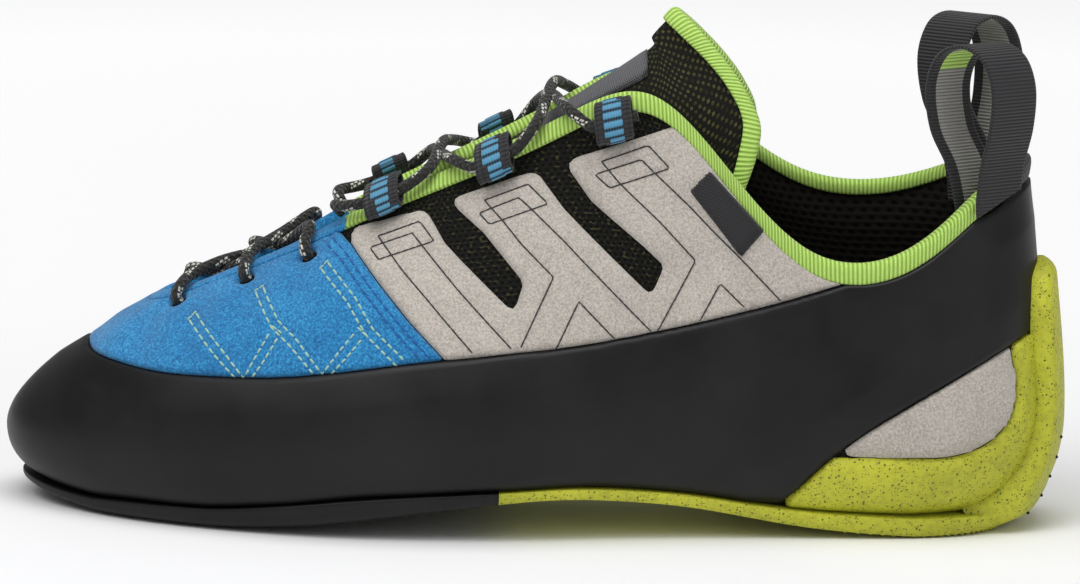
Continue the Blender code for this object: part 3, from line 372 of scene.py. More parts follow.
def ramp(value, *stops):
    """A signal from a few stops: each is (position, colour or level)."""
    node = value.tree.nodes.new("ShaderNodeValToRGB")
    line = node.color_ramp
    while len(line.elements) < len(stops):
        line.elements.new(0.5)
    for element, (position, level) in zip(line.elements, stops):
        element.position = position
        element.color = (*(level if isinstance(level, tuple) else (level,) * 3), 1.0)
    feed(node.inputs["Fac"], value)
    return Signal(value.tree, node.outputs["Color"])


def mixed(factor, first, second):
    node = factor.tree.nodes.new("ShaderNodeMix")
    node.data_type = "RGBA"
    feed(node.inputs[0], factor)
    feed(node.inputs[6], first)
    feed(node.inputs[7], second)
    return Signal(factor.tree, node.outputs[2])


def bumped(surface, *heights):
    """Stack bumps on a surface: each is (height, strength, distance)."""
    normal = None
    for height, strength, distance in heights:
        node = height.tree.nodes.new("ShaderNodeBump")
        for key, value in (("Strength", strength), ("Distance", distance), ("Height", height), ("Normal", normal)):
            if value is not None:
                feed(node.inputs[key], value)
        normal = Signal(height.tree, node.outputs["Normal"])
    feed(surface.inputs["Normal"], normal)


def open_mesh(name, yarn, fleck, cell, flecks):
    """Knitted mesh: rows of small holes between yarns, some yarns a paler colour. The holes are painted near-black:
    partly the dark layer behind them, partly painted shade.
    """
    material, tree, surface = shader(name, yarn, 0.9, sheen=0.02, gloss=0.12)
    along, up = cloth_way(tree, cell, cell * 0.8)
    x = (along + up.step("FLOOR") * 0.5).step("FRACT") - 0.5
    y = up.step("FRACT") - 0.5
    far = (x * x + y * y).step("SQRT")
    picked = noise(coordinates(tree, "UV", (1.0 / (cell * 0.9), 1.0 / (cell * 0.45), 1.0)), 1.0, 1.0)
    pale = (picked > 1.0 - flecks * 0.8) * (far > 0.36)
    # The holes are painted near-black: partly the dark layer under the knit, partly painted shade in them.
    feed(surface.inputs["Base Color"], mixed(pale, ramp(far, (0.20, (0.002, 0.002, 0.002)), (0.36, yarn)), fleck))
    bumped(surface, (far, 0.9, 0.6 * MM), (noise(coordinates(tree), 1600.0, 2.0), 0.3, 0.1 * MM))
    return material


BLACK_MESH = open_mesh("black_mesh", (0.008, 0.008, 0.0065), (0.045, 0.042, 0.018), 1.7 * MM, 0.5)
LINING = open_mesh("black_lining", (0.014, 0.0115, 0.0095), (0.02, 0.02, 0.02), 2.6 * MM, 0.2)


def whole_sheet(name, height, material, turned=False):
    """A sheet over the whole last, with every second point of the net."""
    grid = (NET + NORMAL * height[:, :, None])[::2, ::2]
    uv = np.column_stack([ROUND_MAP[::2, ::2].ravel(), WAY_UP[::2, ::2].ravel()])
    return place(name, grid.reshape(-1, 3), grid_faces(*grid.shape[:2], closed=True, turned=turned), material, "upper",
                 uv)


whole_sheet("upper_outside", np.zeros(NET.shape[:2]), BLACK_MESH)
padding = 0.9 * MM * np.exp(-((BELOW_RIM - 11 * MM) / (7 * MM)) ** 2) * np.clip((NET[:, :, 0] - 0.02) / 0.02, 0, 1)
whole_sheet("upper_lining", -UPPER_WALL - padding, LINING, turned=True)


# Vamp.
# Blue suede over the toes and the front of the throat. It dips at the seams
# and lace holes, and lies in soft creases where the toes bend.
SIDE_LENGTH = 0.978 * LENGTH
VAMP_THICKNESS = 1.2 * MM
BINDING_HEIGHT = 4.2 * MM

# Lines drawn on the side of the shoe, toe to heel: pairs of
# (share of SIDE_LENGTH from the middle, share of INSTEP_HEIGHT)
RAND_TOP_LINE = (
    (-0.437, 0.600), (-0.437, 0.420), (-0.431, 0.374), (-0.415, 0.355), (-0.360, 0.343), (-0.300, 0.347),
    (-0.240, 0.357), (-0.175, 0.380), (-0.110, 0.404), (-0.040, 0.424), (0.040, 0.447), (0.110, 0.476),
    (0.180, 0.511), (0.245, 0.549), (0.315, 0.603), (0.350, 0.640), (0.400, 0.713), (0.430, 0.742),
    (0.475, 0.815), (0.560, 0.860),
)

SEAM_LINE = (
    (-0.230, 0.760), (-0.189, 0.664), (-0.175, 0.640), (-0.147, 0.566), (-0.116, 0.487), (-0.083, 0.412),
    (-0.040, 0.320),
)

LACE_HOLES = (
    # along the shoe, how far down the wall from the rim
    (-0.3188 * LENGTH, 7.5 * MM), (-0.2609 * LENGTH, 8.0 * MM), (-0.2054 * LENGTH, 8.5 * MM),
)


def rim_station(x, side):
    """The station at which the rim passes a given place along the shoe."""
    low, high = 1.5, ROUND / 2
    for _ in range(40):
        middle = (low + high) / 2
        if rim_point(middle)[0] < x:
            low = middle
        else:
            high = middle
    return low if side < 0 else ROUND - low


def wall_place(station, down):
    """A point of the outer face a given way below the rim, with the directions outward, up the wall and along it."""

    def point(at_station, back):
        line = wall(at_station)[1]
        run = run_along(line)
        return at_stops([run[-1] - back], run, line)[0]

    rising = unit(point(station, max(0.0, down - 0.5 * MM)) - point(station, down + 0.5 * MM))
    along = unit(point(station + 0.05, down) - point(station - 0.05, down))
    return point(station, down), unit(np.cross(along, rising)), rising, along


def in_metres(line, across=SIDE_LENGTH, high=INSTEP_HEIGHT):
    return np.array(line, float) * (across, high)


def to_line(points, line):
    """Distance of (x, z) points from an open line."""
    line = np.array(line, float)
    flat = points.reshape(-1, 2)
    nearest = np.full(len(flat), 1e9)
    for a, b in zip(line[:-1], line[1:]):
        edge = b - a
        t = np.clip(((flat - a) @ edge) / max(edge @ edge, 1e-12), 0, 1)
        nearest = np.minimum(nearest, np.linalg.norm(flat - a - t[:, None] * edge, axis=1))
    return nearest.reshape(points.shape[:-1])


def inside(points, polygon):
    """Distance of (x, z) points inside a closed line, negative outside it."""
    polygon = np.array(polygon, float)
    flat = points.reshape(-1, 2)
    within = np.zeros(len(flat), bool)
    for a, b in zip(polygon, np.roll(polygon, -1, axis=0)):
        edge = b - a
        crosses = (a[1] > flat[:, 1]) != (b[1] > flat[:, 1])
        with np.errstate(divide="ignore", invalid="ignore"):
            at = a[0] + (flat[:, 1] - a[1]) * edge[0] / (edge[1] if edge[1] else 1e-12)
        within ^= crosses & (flat[:, 0] < at)
    nearest = to_line(points, np.vstack([polygon, polygon[:1]]))
    return np.where(within.reshape(nearest.shape), nearest, -nearest)


FAR, HIGH, LOW = 0.6 * LENGTH, 2.0 * INSTEP_HEIGHT, -0.3 * INSTEP_HEIGHT
XZ = NET[:, :, [0, 2]]


def above_line(line):
    return [tuple(p) for p in line] + [(FAR, line[-1][1]), (FAR, HIGH), (line[0][0], HIGH)]


def soften(points, steps):
    """A smooth curve through points, with a number of steps to each span."""
    points = np.array(points, float)
    padded = np.concatenate([[2 * points[0] - points[1]], points, [2 * points[-1] - points[-2]]])
    curve = []
    for i in range(1, len(padded) - 2):
        a, b, c, d = padded[i - 1:i + 3]
        for step in range(steps):
            t = step / steps
            square, cube = 2 * a - 5 * b + 4 * c - d, 3 * b - a - 3 * c + d
            curve.append(0.5 * (2 * b + (c - a) * t + square * t * t + cube * t**3))
    curve.append(padded[-2])
    return np.array(curve)


RAND_LINE = np.vstack([in_metres(RAND_TOP_LINE)[:2], soften(in_metres(RAND_TOP_LINE)[1:], 4)[1:]])
IN_TRIM = inside(XZ, above_line(RAND_LINE))
SEAM = in_metres(SEAM_LINE)
IN_FRONT = inside(XZ, [tuple(p) for p in SEAM] + [(SEAM[-1][0], LOW), (-FAR, LOW), (-FAR, HIGH), (SEAM[0][0], HIGH)])


def clipped(field):
    """Faces of the net where field is above zero, cut along its zero line, and what gives values at their corners."""
    count, rows = field.shape
    vertices, lookup, faces = [], {}, []

    def corner(a):
        if a not in lookup:
            lookup[a] = len(vertices)
            vertices.append((a, a, 0.0))
        return lookup[a]

    def between(a, b):
        key = (min(a, b), max(a, b))
        if key not in lookup:
            fa, fb = values[key[0]], values[key[1]]
            t = float(np.clip(fa / (fa - fb), 0.02, 0.98))
            lookup[key] = len(vertices)
            vertices.append((key[0], key[1], t))
        return lookup[key]

    values = field.ravel()
    for i in range(count):
        low, high = i * rows, (i + 1) % count * rows
        for j in range(rows - 1):
            quad = (low + j, high + j, high + j + 1, low + j + 1)
            signs = [values[q] > 0 for q in quad]
            if not any(signs):
                continue
            if all(signs):
                faces.append(tuple(corner(q) for q in quad))
                continue
            loop = []
            for n in range(4):
                a, b = quad[n], quad[(n + 1) % 4]
                if values[a] > 0:
                    loop.append(corner(a))
                if (values[a] > 0) != (values[b] > 0):
                    loop.append(between(a, b))
            if len(loop) > 2:
                faces.append(tuple(loop))
    first, second = (np.array([v[n] for v in vertices]) for n in (0, 1))
    share = np.array([v[2] for v in vertices])[:, None]

    def take(grid):
        flat = grid.reshape(count * rows, -1)
        return flat[first] * (1 - share) + flat[second] * share

    return take, faces


def rounded(distance, radius):
    """How high a rolled edge stands at a distance from its line, from 0 to 1."""
    t = np.clip(distance / radius, 0, 1)
    return np.sqrt(np.clip(1 - (1 - t) ** 2, 0, 1))


def cover(name, field, base, thickness, radius, material, node, relief=None):
    """A sheet over part of the last, its edge rolled down to what it lies on."""
    take, faces = clipped(field)

    def here(value):
        return take(value)[:, 0] if np.ndim(value) else value

    height = here(base) + here(thickness) * rounded(here(field), radius)
    if relief is not None:
        height = height + here(relief)
    points = take(NET) + take(NORMAL) * height[:, None]
    uv = np.column_stack([take(ROUND_MAP)[:, 0], take(WAY_UP)[:, 0]])
    return place(name, points, faces, material, node, uv)


def suede(name, deep, mid, light, grain, mottle):
    """Napped leather: blotches where the nap lies over, and a fine grain of fibres."""
    material, tree, surface = shader(name, mid, 0.95, sheen=0.25)
    spot = coordinates(tree)
    fibre = noise(spot, grain, 3.0, 0.7)
    blotch = noise(spot, mottle, 5.0, 0.65)
    feed(surface.inputs["Base Color"], ramp(fibre * 0.8 + blotch * 0.2, (0.38, deep), (0.5, mid), (0.62, light)))
    bumped(surface, (blotch, 0.35, 0.8 * MM), (fibre, 0.75, 0.35 * MM))
    return material


BLUE_SUEDE = suede("blue_suede", (0.006, 0.105, 0.28), (0.012, 0.180, 0.430), (0.040, 0.32, 0.61), 1500.0, 80.0)
HOLE_CENTRES = [wall_place(rim_station(x, side), down)[0] for side in (-1, 1) for x, down in LACE_HOLES]
AT_HOLES = np.minimum.reduce([np.linalg.norm(NET - here, axis=2) for here in HOLE_CENTRES])
BELOW_TAPE = BELOW_RIM - (BINDING_HEIGHT - 0.2 * MM)
EMBROIDERY = (
    # double rows of stitches on the suede: (along, height) in millimetres
    ((-88.0, 52.6), (-80.5, 45.2), (-73.5, 38.7), (-69.5, 45.0), (-65.5, 51.8)),
    ((-70.8, 60.3), (-66.1, 52.9), (-61.2, 49.2), (-53.5, 41.2), (-48.5, 47.2), (-43.7, 53.0)),
    ((-54.1, 67.4), (-46.7, 60.2), (-41.9, 53.1), (-32.8, 45.1)),
)
ROW_HALF_GAP = 1.15  # from the middle of a double row to each of its rows, in millimetres
STITCH_RELIEF = np.zeros(NET.shape[:2])
for line in EMBROIDERY:
    away = to_line(XZ, np.array(line) * MM)
    STITCH_RELIEF -= 0.34 * MM * np.exp(-((away - ROW_HALF_GAP * MM) / (0.9 * MM)) ** 2)
SEAM_AWAY = to_line(XZ, SEAM)
FOREFOOT = np.clip((-0.045 - NET[:, :, 0]) / 0.02, 0, 1) * np.clip((BELOW_RIM - 4 * MM) / (10 * MM), 0, 1)
puckers = 0.28 * MM * np.sin(NET[:, :, 0] * 2 * math.pi / (13.5 * MM) + BELOW_RIM * 60) * FOREFOOT
puckers *= np.exp(-((BELOW_RIM - 17 * MM) / (12 * MM)) ** 2)
vamp_relief = STITCH_RELIEF + puckers - 0.35 * MM * np.exp(-((SEAM_AWAY - 2.3 * MM) / (0.9 * MM)) ** 2) \
    - 0.4 * MM * np.exp(-(AT_HOLES / (4.2 * MM)) ** 2)
vamp_field = np.minimum.reduce([IN_TRIM - 0.15 * MM, IN_FRONT - 0.1 * MM, BELOW_TAPE, AT_HOLES - 2.0 * MM])
cover("vamp_suede", vamp_field, 0.15 * MM, CLEARANCE + VAMP_THICKNESS - 0.15 * MM, 1.2 * MM, BLUE_SUEDE, "vamp",
      vamp_relief)


# Quarters.
# Grey panels whose fingers reach up to the lace loops, with the knit bare
# between them. Double rows of stitches run down each finger.
PANEL_THICKNESS = 1.1 * MM
QUARTER_ENDS = {"outer": 0.352 * LENGTH, "inner": 0.418 * LENGTH}  # how far back each panel runs

KNIT_LINE = (
    (-0.230, 0.660), (-0.175, 0.644), (-0.175, 0.657), (-0.172, 0.668), (-0.168, 0.675), (-0.113, 0.719),
    (-0.107, 0.720), (-0.102, 0.713), (-0.097, 0.697), (-0.086, 0.658), (-0.070, 0.623), (-0.026, 0.530),
    (-0.022, 0.525), (-0.018, 0.530), (-0.012, 0.577), (-0.014, 0.590), (-0.026, 0.622), (-0.050, 0.685),
    (-0.074, 0.728), (-0.078, 0.738), (-0.078, 0.746), (-0.074, 0.756), (-0.067, 0.763), (-0.009, 0.815),
    (-0.003, 0.817), (0.003, 0.809), (0.009, 0.791), (0.026, 0.742), (0.059, 0.668), (0.103, 0.570),
    (0.107, 0.564), (0.111, 0.571), (0.119, 0.615), (0.118, 0.628), (0.100, 0.667), (0.051, 0.762),
    (0.031, 0.824), (0.029, 0.838), (0.032, 0.849), (0.038, 0.857), (0.126, 0.928), (0.150, 1.300),
    (-0.250, 1.300),
)

GREY_SUEDE = suede("grey_microfibre", (0.34, 0.31, 0.275), (0.455, 0.415, 0.37), (0.57, 0.525, 0.475), 1700.0, 90.0)

PANEL_STITCHES = (
    # single rows of stitches on the grey panels: (along, height) in millimetres
    ((-40.4, 75.1), (-29.8, 79.3), (-26.0, 75.0), (-40.0, 69.9), (-42.4, 72.4), (-31.6, 76.5), (-28.2, 72.9),
     (-20.1, 64.3), (-2.3, 46.6)),
    ((-40.4, 75.1), (-36.8, 71.1), (-34.0, 67.9), (-27.7, 61.6), (-12.0, 45.1)),
    ((-13.4, 85.2), (-2.4, 89.7), (2.8, 85.3), (-12.0, 79.6), (-14.7, 82.1), (-4.7, 86.4), (-1.2, 83.6), (6.9, 76.5),
     (16.2, 67.4), (30.5, 53.3)),
    ((-13.4, 85.2), (-8.5, 80.5), (-3.7, 75.2), (4.5, 67.6), (-4.3, 48.6)),
    ((16.1, 96.1), (27.9, 100.4), (33.4, 94.8), (18.3, 89.7), (14.5, 92.9), (26.2, 96.9), (29.3, 93.9), (38.3, 85.7),
     (44.1, 79.8), (52.6, 71.6), (63.7, 60.3)),
    ((16.1, 96.1), (20.9, 90.8), (31.1, 81.6), (40.4, 71.9), (30.5, 53.3)),
    ((5.5, 50.1), (11.0, 61.8), (21.7, 51.1)),
    ((40.8, 55.1), (46.8, 66.2), (54.8, 58.5)),
)

panel_relief = np.zeros(NET.shape[:2])
for line in PANEL_STITCHES:
    panel_relief -= 0.16 * MM * np.exp(-(to_line(XZ, np.array(line) * MM) / (1.1 * MM)) ** 2)
IN_KNIT = inside(XZ, in_metres(KNIT_LINE))
for side, word in ((-1, "outer"), (1, "inner")):
    field = np.minimum.reduce([IN_TRIM - 0.15 * MM, -IN_FRONT - 0.1 * MM, BELOW_TAPE, QUARTER_ENDS[word] - NET[:, :, 0],
                               NET[:, :, 1] * side, -IN_KNIT])
    cover("quarter_" + word, field, 0.15 * MM, CLEARANCE + PANEL_THICKNESS - 0.15 * MM, 1.1 * MM, GREY_SUEDE,
          "quarter_%s_side" % word, panel_relief)


# Rand, heel band and heel patches.
# One black rubber rand runs round the toe and sides and is drawn round the
# heel. Its top edge is thinned down, and it is a little uneven by hand.
HEEL_PANEL_THICKNESS = 0.9 * MM

SLING_LOW_LINE = (
    (0.214, -0.100), (0.222, 0.030), (0.231, 0.072), (0.254, 0.125), (0.282, 0.190), (0.318, 0.257),
    (0.381, 0.348), (0.451, 0.438), (0.485, 0.466), (0.560, 0.480),
)
WINDOW_LOW_LINE = (
    (0.200, 0.196), (0.318, 0.193), (0.361, 0.192), (0.393, 0.193), (0.425, 0.213),
    (0.448, 0.254), (0.457, 0.312), (0.457, 0.370), (0.452, 0.430), (0.450, 0.600),
)

SLING_LINE = soften(in_metres(SLING_LOW_LINE), 4)
WINDOW_LINE = soften(in_metres(WINDOW_LOW_LINE), 4)
IN_SLING_BELOW = inside(XZ, [tuple(p) for p in SLING_LINE] + [(FAR, LOW), (SLING_LINE[0][0], LOW)])
IN_WINDOW = inside(XZ, [tuple(p) for p in WINDOW_LINE] + [(WINDOW_LINE[0][0], WINDOW_LINE[-1][1])])


def rubber(name, rgb, roughness, specks=None, gloss=0.35):
    """Moulded rubber with a faint bloom; specks are crumbs of another colour."""
    material, tree, surface = shader(name, rgb, roughness, gloss=gloss)
    spot = coordinates(tree)
    cloud = noise(spot, 35.0, 5.0)
    grain = noise(spot, 1500.0, 2.0)
    colour = ramp(cloud, (0.3, tuple(c * 0.82 for c in rgb)), (0.7, tuple(c * 1.25 + 0.0048 for c in rgb)))
    if specks:
        colour = mixed(ramp(noise(spot, 620.0, 3.0, 0.7), (0.38, 0.20), (0.56, 0.0)), colour, specks)
        for scale, reach, share in ((800.0, 0.24, 0.45), (1400.0, 0.26, 0.50)):
            cells = tree.nodes.new("ShaderNodeTexVoronoi")
            feed(cells.inputs["Scale"], scale)
            feed(cells.inputs["Vector"], spot)
            chosen = tree.nodes.new("ShaderNodeSeparateColor")
            feed(chosen.inputs[0], Signal(tree, cells.outputs["Color"]))
            crumb = (Signal(tree, cells.outputs["Distance"]) < reach) * (Signal(tree, chosen.outputs[0]) > share)
            colour = mixed(crumb * 0.75, colour, specks)
    feed(surface.inputs["Base Color"], colour)
    feed(surface.inputs["Roughness"], ramp(cloud, (0.3, roughness - 0.06), (0.7, roughness + 0.08)))
    bumped(surface, (cloud, 0.08, 1.0 * MM), (grain, 0.16, 0.12 * MM))
    return material


BLACK_RUBBER = rubber("black_rubber", (0.0058, 0.0058, 0.0066), 0.42, gloss=0.24)
LIME_RUBBER = rubber("lime_rubber", (0.46, 0.47, 0.03), 0.55, specks=(0.03, 0.033, 0.01))
wobble = 0.10 * MM * np.sin(ROUND_MAP * 95) + 0.07 * MM * np.sin(ROUND_MAP * 210 + WAY_UP * 90)
rand_field = np.minimum.reduce([-IN_TRIM, -IN_SLING_BELOW, BELOW_TAPE])
skived = (CLEARANCE + RAND_THICKNESS - 0.12 * MM) * (0.62 + 0.38 * np.clip(rand_field / (9 * MM), 0, 1))
cover("rand_rubber", rand_field, 0.12 * MM, skived, 0.9 * MM, BLACK_RUBBER, "rand",
      wobble * np.clip(rand_field / (6 * MM), 0, 1))
heel_field = np.minimum(IN_SLING_BELOW - 0.1 * MM, -IN_WINDOW)
cover("heel_rand_rubber", heel_field, 0.12 * MM, CLEARANCE + RAND_THICKNESS - 0.12 * MM, 0.9 * MM, LIME_RUBBER,
      "heel_rand", wobble * 0.5)
for side, word in ((-1, "outer"), (1, "inner")):
    # Each patch stops a little short of the rubber round it, so a thin line of the black knit shows at its edge:
    # painted shade along the groove there.
    field = np.minimum.reduce([IN_SLING_BELOW - 0.3 * MM, IN_WINDOW - 0.22 * MM, NET[:, :, 1] * side])
    cover("heel_patch_" + word, field, 0.12 * MM, CLEARANCE + HEEL_PANEL_THICKNESS - 0.12 * MM, 0.5 * MM, GREY_SUEDE,
          "heel_panel_%s_side" % word)


# Outsoles.
# Two plates with rounded edges. The rear one is lime, climbs the back of the
# heel, and has small teeth across it under the heel.

# Seen from behind: the part of the heel that the rear sole climbs, (share of BALL_WIDTH, share of INSTEP_HEIGHT)
HEEL_WRAP_LINE = (
    (0.250, 0.004), (0.225, 0.060), (0.175, 0.140), (0.145, 0.250), (0.132, 0.400), (0.118, 0.520), (0.090, 0.590),
    (0.045, 0.615),
)
# How much thicker the heel rubber grows toward the floor: heights of the wall, and the growth there, in millimetres
HEEL_SWELL = ((8.5, 11.2, 15.7, 22.0, 30.0), (1.5, 2.6, 0.9, 0.3, 0.0))


SOLE_INSET = 0.40  # how far the plates' edge lies inside the widest line, share of the upper's tuck


def sole_profile(along, thick):
    """The plate's side from its top edge to its flat: (inset, height). It rolls up further round the heel."""
    soft = np.interp(along, (0.40, 0.60), (1.0, 0.40))
    back = np.clip((along - 0.88) / 0.12, 0.0, 1.0) ** 2
    side = ((0.2, 1.0), (0.06, 0.97), (0.0, 0.88), (0.05, 0.66), (0.35, 0.48 * (0.6 + 0.4 * soft)), (0.9, 0.34 * soft),
            (1.9, 0.20 * soft), (3.4, 0.10 * soft), (5.5, 0.035 * soft), (8.0, 0.0))
    heel = ((0.8, 1.0), (0.62, 0.97), (0.6, 0.88), (0.75, 0.68), (1.6, 0.50), (3.5, 0.33), (5.6, 0.20), (8.3, 0.11),
            (11.5, 0.035), (15.0, 0.0))
    return [((a * (1 - back) + c * back) * MM, (b * (1 - back) + e * back) * thick)
            for (a, b), (c, e) in zip(side, heel)]


def sole_plate(name, first, last, material, node):
    """A closed plate between two stations, its rings joined across at the cut."""
    near = [s for s in np.arange(0, ROUND / 2 + 0.01, 0.125) if first <= s <= last]
    far = [ROUND - s for s in near][::-1]
    if first <= 0:
        far = far[:-1]
    if last >= ROUND / 2:
        far = far[1:]
    ring_stations = near + far
    rings = []
    for station in ring_stations:
        flat, out = outline(station), outward(station)[:2]
        tuck = read(FORM["tuck"], station) * BALL_WIDTH
        along = read(FORM["along"], station)
        edge = SOLE_INSET * tuck - 0.9 * MM - 3.5 * MM * np.clip((along - 0.88) / 0.12, 0.0, 1.0) ** 2
        ring = [(*(flat - out * (edge + inset)), camber(station) + high)
                for inset, high in sole_profile(along, smooth_thickness(station))]
        rings.append(ring)
    rings = np.array(rings)
    count, rows = rings.shape[:2]
    vertices = [tuple(p) for p in rings.reshape(-1, 3)]
    faces = []
    for i in range(count):
        k = (i + 1) % count
        if 1.0 < abs(ring_stations[k] - ring_stations[i]) < ROUND - 1.0:
            faces.append(tuple([i * rows + j for j in range(rows)] + [k * rows + j for j in range(rows - 1, -1, -1)]))
            continue
        for j in range(rows - 1):
            faces.append((i * rows + j, i * rows + j + 1, k * rows + j + 1, k * rows + j))
    where = {round(s, 4): n for n, s in enumerate(ring_stations)}
    for a, b in zip(near[:-1], near[1:]):
        loop = []
        for s in (a, b, ROUND - b, ROUND - a):
            n = where.get(round(s % ROUND, 4), where.get(round(s, 4)))
            if n is not None and n not in loop:
                loop.append(n)
        faces.append(tuple(n * rows + rows - 1 for n in loop[::-1]))
        faces.append(tuple(n * rows for n in loop))
    return place(name, vertices, faces, material, node)


sole_plate("front_sole_rubber", 0.0, 7.0, BLACK_RUBBER, "outsole_front")
sole_plate("rear_sole_rubber", 7.0, ROUND / 2, LIME_RUBBER, "outsole_rear")

half = soften(in_metres(HEEL_WRAP_LINE, BALL_WIDTH) - (0.0, 4.0 * MM), 4)
half[:, 1] += 4.0 * MM * np.clip(half[:, 1] / (0.1 * INSTEP_HEIGHT), 0.0, 1.0)
heel_net = np.array([net_rows(s) for s in np.linspace(ROUND / 2 - 4.0, ROUND / 2 + 4.0, 120)])
heel_normal = unit(np.cross(np.gradient(heel_net, axis=0), np.gradient(heel_net, axis=1)))
heel_tree = BVHTree.FromPolygons([Vector(p) for p in heel_net.reshape(-1, 3)], grid_faces(*heel_net.shape[:2]))


def on_heel(y, z):
    """The place on the heel behind (y, z), seen from the back, and the outward direction there."""
    hit, normal, index, away = heel_tree.ray_cast(Vector((0.25, y, z)), Vector((-1, 0, 0)))
    i, j = divmod(index, heel_net.shape[1] - 1)
    hit = np.array(hit)
    total = np.zeros(3)
    for a, b in ((i, j), (i + 1, j), (i, j + 1), (i + 1, j + 1)):
        total += heel_normal[a, b] / (np.linalg.norm(heel_net[a, b] - hit) + 1e-5)
    return hit, unit(total)


edge_shares = 1 - np.array([0, 0.006, 0.02, 0.045, 0.08, 0.13, 0.2, 0.3, 0.45, 0.65, 0.85])
edge_shares = np.concatenate([-edge_shares, [0.0], edge_shares[::-1]])
top_of_wrap = half[-1, 1]
heights = top_of_wrap - np.concatenate([[0.0, 0.05, 0.2, 0.5, 0.95, 1.5],
                                        np.linspace(2.3, top_of_wrap / MM - 8.9, 60)]) * MM
wrap_grid = []
for z in heights:
    wide = np.interp(z, half[:, 1], half[:, 0])
    wide -= 3.2 * MM * (1 - math.sqrt(max(0.0, 1 - max(0.0, 1 - (top_of_wrap - z) / (5.0 * MM)) ** 2)))
    line = []
    for share in edge_shares:
        hit, way = on_heel(share * wide, z)
        from_edge = min(1.3 * wide * (1 - abs(share)), 0.5 * (top_of_wrap - z))
        roll = np.interp(z, (9.0 * MM, 20.0 * MM), (7.0 * MM, 2.2 * MM))
        full = 2 * CLEARANCE + RAND_THICKNESS + HEEL_WRAP_THICKNESS + np.interp(z / MM, *HEEL_SWELL) * MM
        under = CLEARANCE + RAND_THICKNESS - 0.8 * MM
        line.append(hit + way * (under + (full - under) * float(rounded(from_edge, roll))))
    wrap_grid.append(line)
wrap_grid = np.array(wrap_grid)
place("heel_wrap_rubber", wrap_grid.reshape(-1, 3), grid_faces(*wrap_grid.shape[:2]), LIME_RUBBER, "outsole_rear")


def studs(name, places, sizes, material):
    """Small rounded lumps."""
    vertices, faces = [], []
    for centre, size in zip(places, sizes):
        start = len(vertices)
        for j in range(1, 5):
            for i in range(8):
                a, b = 2 * math.pi * i / 8, math.pi * j / 5
                ball = np.array([math.cos(a) * math.sin(b), math.sin(a) * math.sin(b), math.cos(b)])
                vertices.append(np.array(centre) + ball * size)
        vertices += [np.array(centre) + (0, 0, size[2]), np.array(centre) - (0, 0, size[2])]
        for i in range(8):
            k = (i + 1) % 8
            for j in range(3):
                faces.append((start + j * 8 + i, start + (j + 1) * 8 + i, start + (j + 1) * 8 + k, start + j * 8 + k))
            faces.append((start + 32, start + i, start + k))
            faces.append((start + 33, start + 24 + k, start + 24 + i))
    return place(name, vertices, faces, material)


places, sizes = [], []
for station in np.linspace(10.55, 13.2, 20):
    for turn in (station, ROUND - station):
        flat, out = outline(turn), outward(turn)[:2]
        tuck = read(FORM["tuck"], turn) * BALL_WIDTH
        at = flat - out * (SOLE_INSET * tuck + 1.2 * MM)
        places.append((at[0], at[1], camber(turn) + 1.05 * MM))
        sizes.append(np.array((0.75, 0.75, 0.95)) * MM)
studs("heel_teeth", places, sizes, LIME_RUBBER)
places, sizes = [], []
for z in (25.0, 20.8, 17.0, 13.6, 10.9):
    for y in (-7.0, 7.0):
        hit, way = on_heel(y * MM, z * MM)
        swell = np.interp(z, *HEEL_SWELL) * MM
        places.append(hit + way * (2 * CLEARANCE + RAND_THICKNESS + HEEL_WRAP_THICKNESS + swell + 0.15 * MM))
        sizes.append(np.array((0.45, 0.45, 0.45)) * MM)
studs("heel_nubs", places, sizes, BLACK_RUBBER)


# Collar tape.
# Ribbed lime tape folded over the rim of the throat and collar, a little
# fuller on its outer side.
def ribbed(name, ridge, valley_shade, pitch, cross=None, weft_share=0.4):
    """Tape or webbing with ribs across its length, and a weft where the weave has one. The valleys between the ribs are
    painted darker, as painted shade.
    """
    material, tree, surface = shader(name, ridge, 0.75, sheen=0.15)
    along, across = cloth_way(tree, pitch, cross or pitch)

    def wave(way):
        return (way * (2 * math.pi)).step("SINE") * 0.5 + 0.5

    height = wave(along)
    if cross:
        height = height * (1.0 - weft_share) + wave(across) * weft_share
    # Painted shade: the colour darkens from the ridges down into the valleys between the ribs.
    feed(surface.inputs["Base Color"], ramp(height, (0.12, valley_shade), (0.55, ridge)))
    bumped(surface, (height, 0.8, 0.35 * MM), (noise(coordinates(tree), 1400.0, 2.0), 0.3, 0.1 * MM))
    return material


LIME_TAPE = ribbed("lime_tape", (0.50, 0.74, 0.17), (0.23, 0.40, 0.04), 1.15 * MM)
BLACK_WEBBING = ribbed("black_webbing", (0.022, 0.022, 0.025), (0.008, 0.008, 0.009), 1.0 * MM, 1.6 * MM)


def folded(name, rim, rim_normal, rising, section, node, closed=True):
    """Tape bent over a line; its section is a row of (outward, up) in millimetres."""
    grid = np.stack([rim + rim_normal * offset * MM + rising * up * MM for offset, up in section], axis=1)
    over = run_along(np.array(section)) * MM
    uv = np.stack(np.meshgrid(run_along(rim), over, indexing="ij"), axis=-1).reshape(-1, 2)
    return place(name, grid.reshape(-1, 3), grid_faces(*grid.shape[:2], closed=closed), LIME_TAPE, node,
                 uv)


TAPE_SECTION = (
    (0.20, -4.15), (0.75, -4.20), (1.15, -4.00), (1.32, -3.50), (1.38, -2.20), (1.40, -0.9), (1.25, 0.1), (0.80, 0.85),
    (0.0, 1.20), (-1.1, 1.28), (-2.2, 1.10), (-3.0, 0.60), (-3.35, -0.1), (-3.45, -0.9), (-3.45, -1.9), (-3.30, -2.3),
    (-2.9, -2.5), (-2.3, -2.55),
)


def rim_net(count):
    """The rim at even steps of its own length."""
    run = run_along(np.vstack([NET[:, -1], NET[:1, -1]]))
    stops = np.linspace(0, run[-1], count + 1)[:-1]

    def take(values):
        return at_stops(stops, run, np.vstack([values[:, -1], values[:1, -1]]))

    return take(NET), unit(take(NORMAL)), unit(take(RISING))


